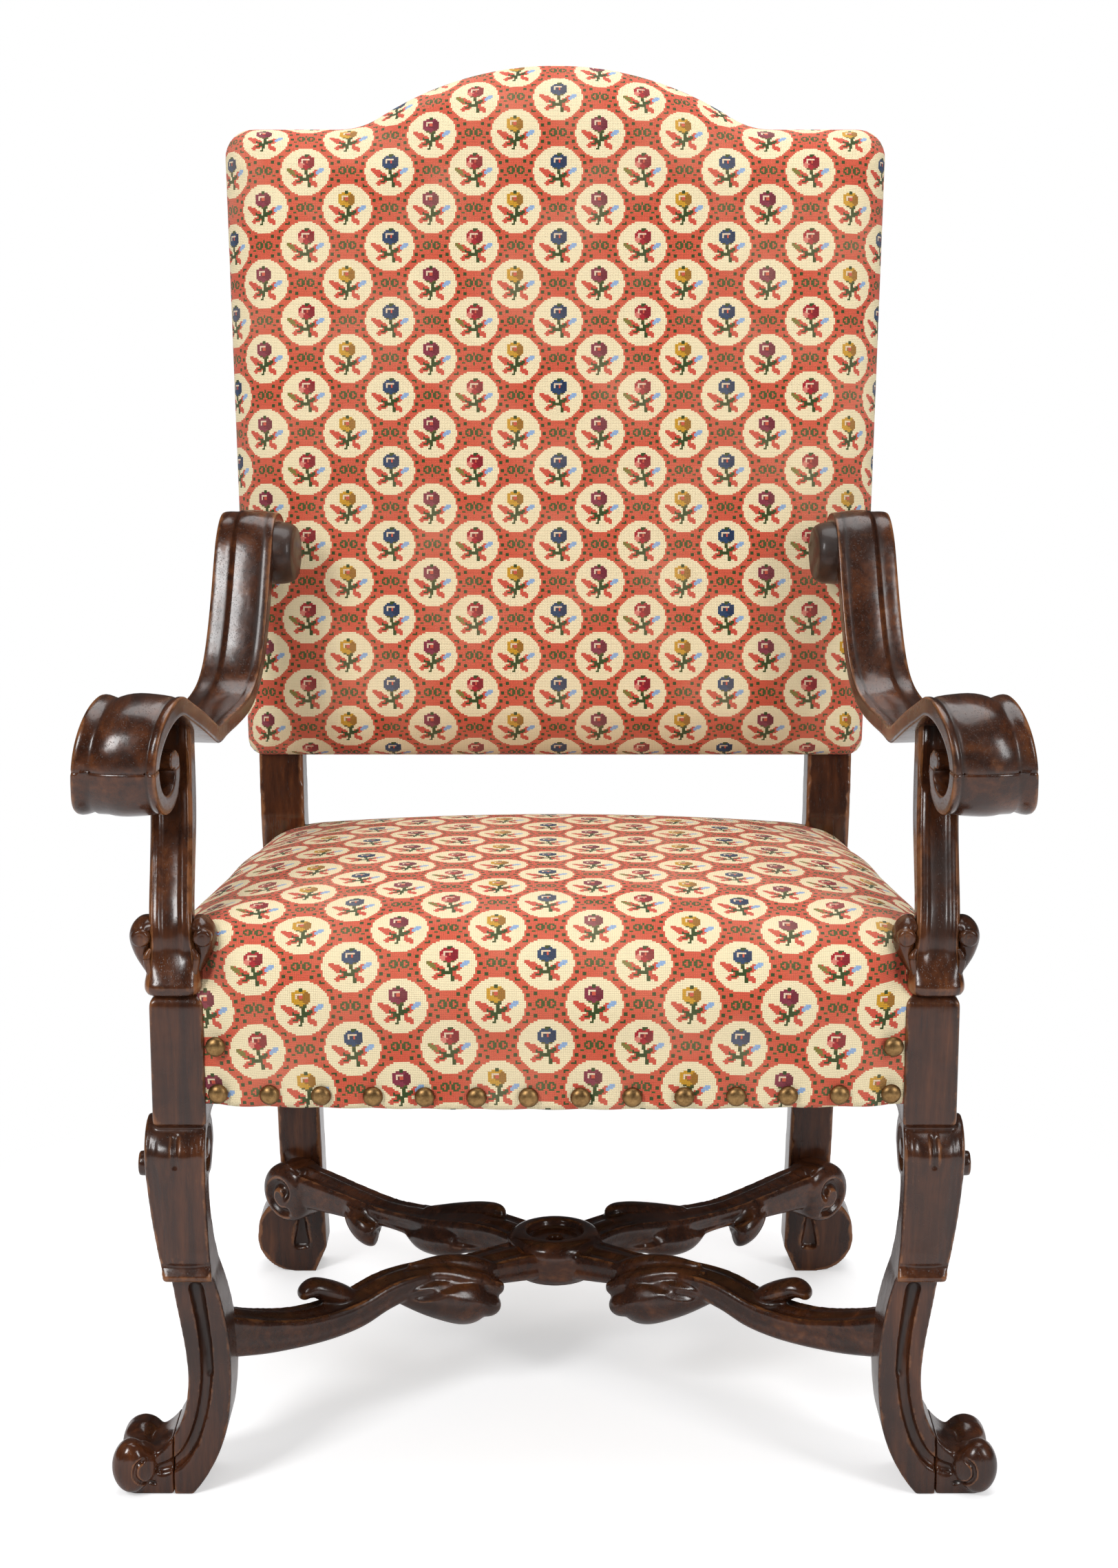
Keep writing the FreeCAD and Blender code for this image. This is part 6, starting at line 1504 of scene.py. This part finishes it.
def make_floor():
    """A pale floor that fades to the white of the backdrop away from the chair."""
    floor = Finish("pale_floor", roughness=0.9)
    floor.surface.inputs["Base Color"].default_value = (0.80, 0.80, 0.81, 1)
    lit = Wire(floor, floor.surface.outputs[0])
    lift = floor.node("ShaderNodeEmission", {}, {"Color": (1, 1, 1, 1), "Strength": FLOOR_GLOW})[0]
    near = floor.node("ShaderNodeAddShader", {}, {0: lit, 1: lift})[0]
    white = floor.node("ShaderNodeEmission", {}, {"Color": (1, 1, 1, 1), "Strength": 1.0})[0]
    split = floor.node("ShaderNodeSeparateXYZ", {}, {0: floor.place()})
    out_x, out_y = split[0] / FLOOR_REACH, (split[1] + 0.02) / FLOOR_REACH
    away = floor.step((out_x * out_x + out_y * out_y).math("SQRT"), 0.7, 1.35)
    seen_floor = floor.node("ShaderNodeMixShader", {}, {0: away, 1: near, 2: white})[0]
    ray = floor.node("ShaderNodeLightPath")
    mixed = floor.node("ShaderNodeMixShader", {}, {0: ray["Is Camera Ray"], 1: lit, 2: seen_floor})[0]
    floor.tree.links.new(mixed.socket, floor.tree.nodes["Material Output"].inputs["Surface"])
    mesh = bpy.data.meshes.new("floor")
    mesh.from_pydata([(-9, -6, 0), (9, -6, 0), (9, 12, 0), (-9, 12, 0)], [], [(0, 1, 2, 3)])
    mesh.materials.append(floor.material)
    plane = add_object("floor", mesh)


def soft_lamp(name, place, aim, size, power):
    """A softbox that looks at a place on the chair."""
    lamp = bpy.data.lights.new(name, "AREA")
    lamp.shape = "RECTANGLE"
    lamp.size, lamp.size_y = size
    lamp.energy = power
    holder = add_object(name, lamp)
    holder.location = place
    holder.rotation_euler = (Vector(aim) - Vector(place)).to_track_quat("-Z", "Y").to_euler()


def light_studio():
    """Three softboxes and a white room, which is dimmer as light and in reflections than as a backdrop."""
    world = bpy.data.worlds.new("studio")
    bpy.context.scene.world = world
    world.use_nodes = True
    nodes, links = world.node_tree.nodes, world.node_tree.links
    seen = nodes.new("ShaderNodeLightPath")

    def switch(ray, brightness):
        """Gives one kind of ray its brightness; input 2 takes the brightness for the others."""
        step = nodes.new("ShaderNodeMix")
        step.data_type = "FLOAT"
        links.new(seen.outputs[ray], step.inputs[0])
        step.inputs[3].default_value = brightness
        return step

    in_reflections = switch("Is Glossy Ray", ROOM_IN_REFLECTIONS)
    in_reflections.inputs[2].default_value = ROOM_LIGHT
    as_backdrop = switch("Is Camera Ray", 1.0)
    links.new(in_reflections.outputs[0], as_backdrop.inputs[2])
    links.new(as_backdrop.outputs[0], nodes["Background"].inputs["Strength"])
    nodes["Background"].inputs["Color"].default_value = (1, 1, 1, 1)
    soft_lamp("key_softbox", (-1.9, -2.6, 2.6), (0, 0, 0.6), (0.9, 1.3), 76)
    soft_lamp("fill_softbox", (2.2, -2.3, 1.9), (0, 0, 0.6), (0.7, 1.5), 38)
    soft_lamp("top_softbox", (0.2, 0.3, 3.2), (0, 0, 0.4), (2.4, 2.0), 66)


def set_camera():
    """The camera that was fitted to the photograph."""
    camera = bpy.data.cameras.new("photo_camera")
    camera.sensor_fit = "VERTICAL"
    camera.sensor_height = SENSOR_HEIGHT
    camera.lens = FOCAL_PIXELS * SENSOR_HEIGHT / PHOTO_PIXELS
    holder = add_object("photo_camera", camera)
    holder.location = (0.0036, -2.4261, 1.060)
    holder.rotation_euler = (math.radians(90 - CAMERA_DIP), 0, 0)
    bpy.context.scene.camera = holder


make_floor()
light_studio()
set_camera()
bpy.context.scene.view_settings.view_transform = "Standard"
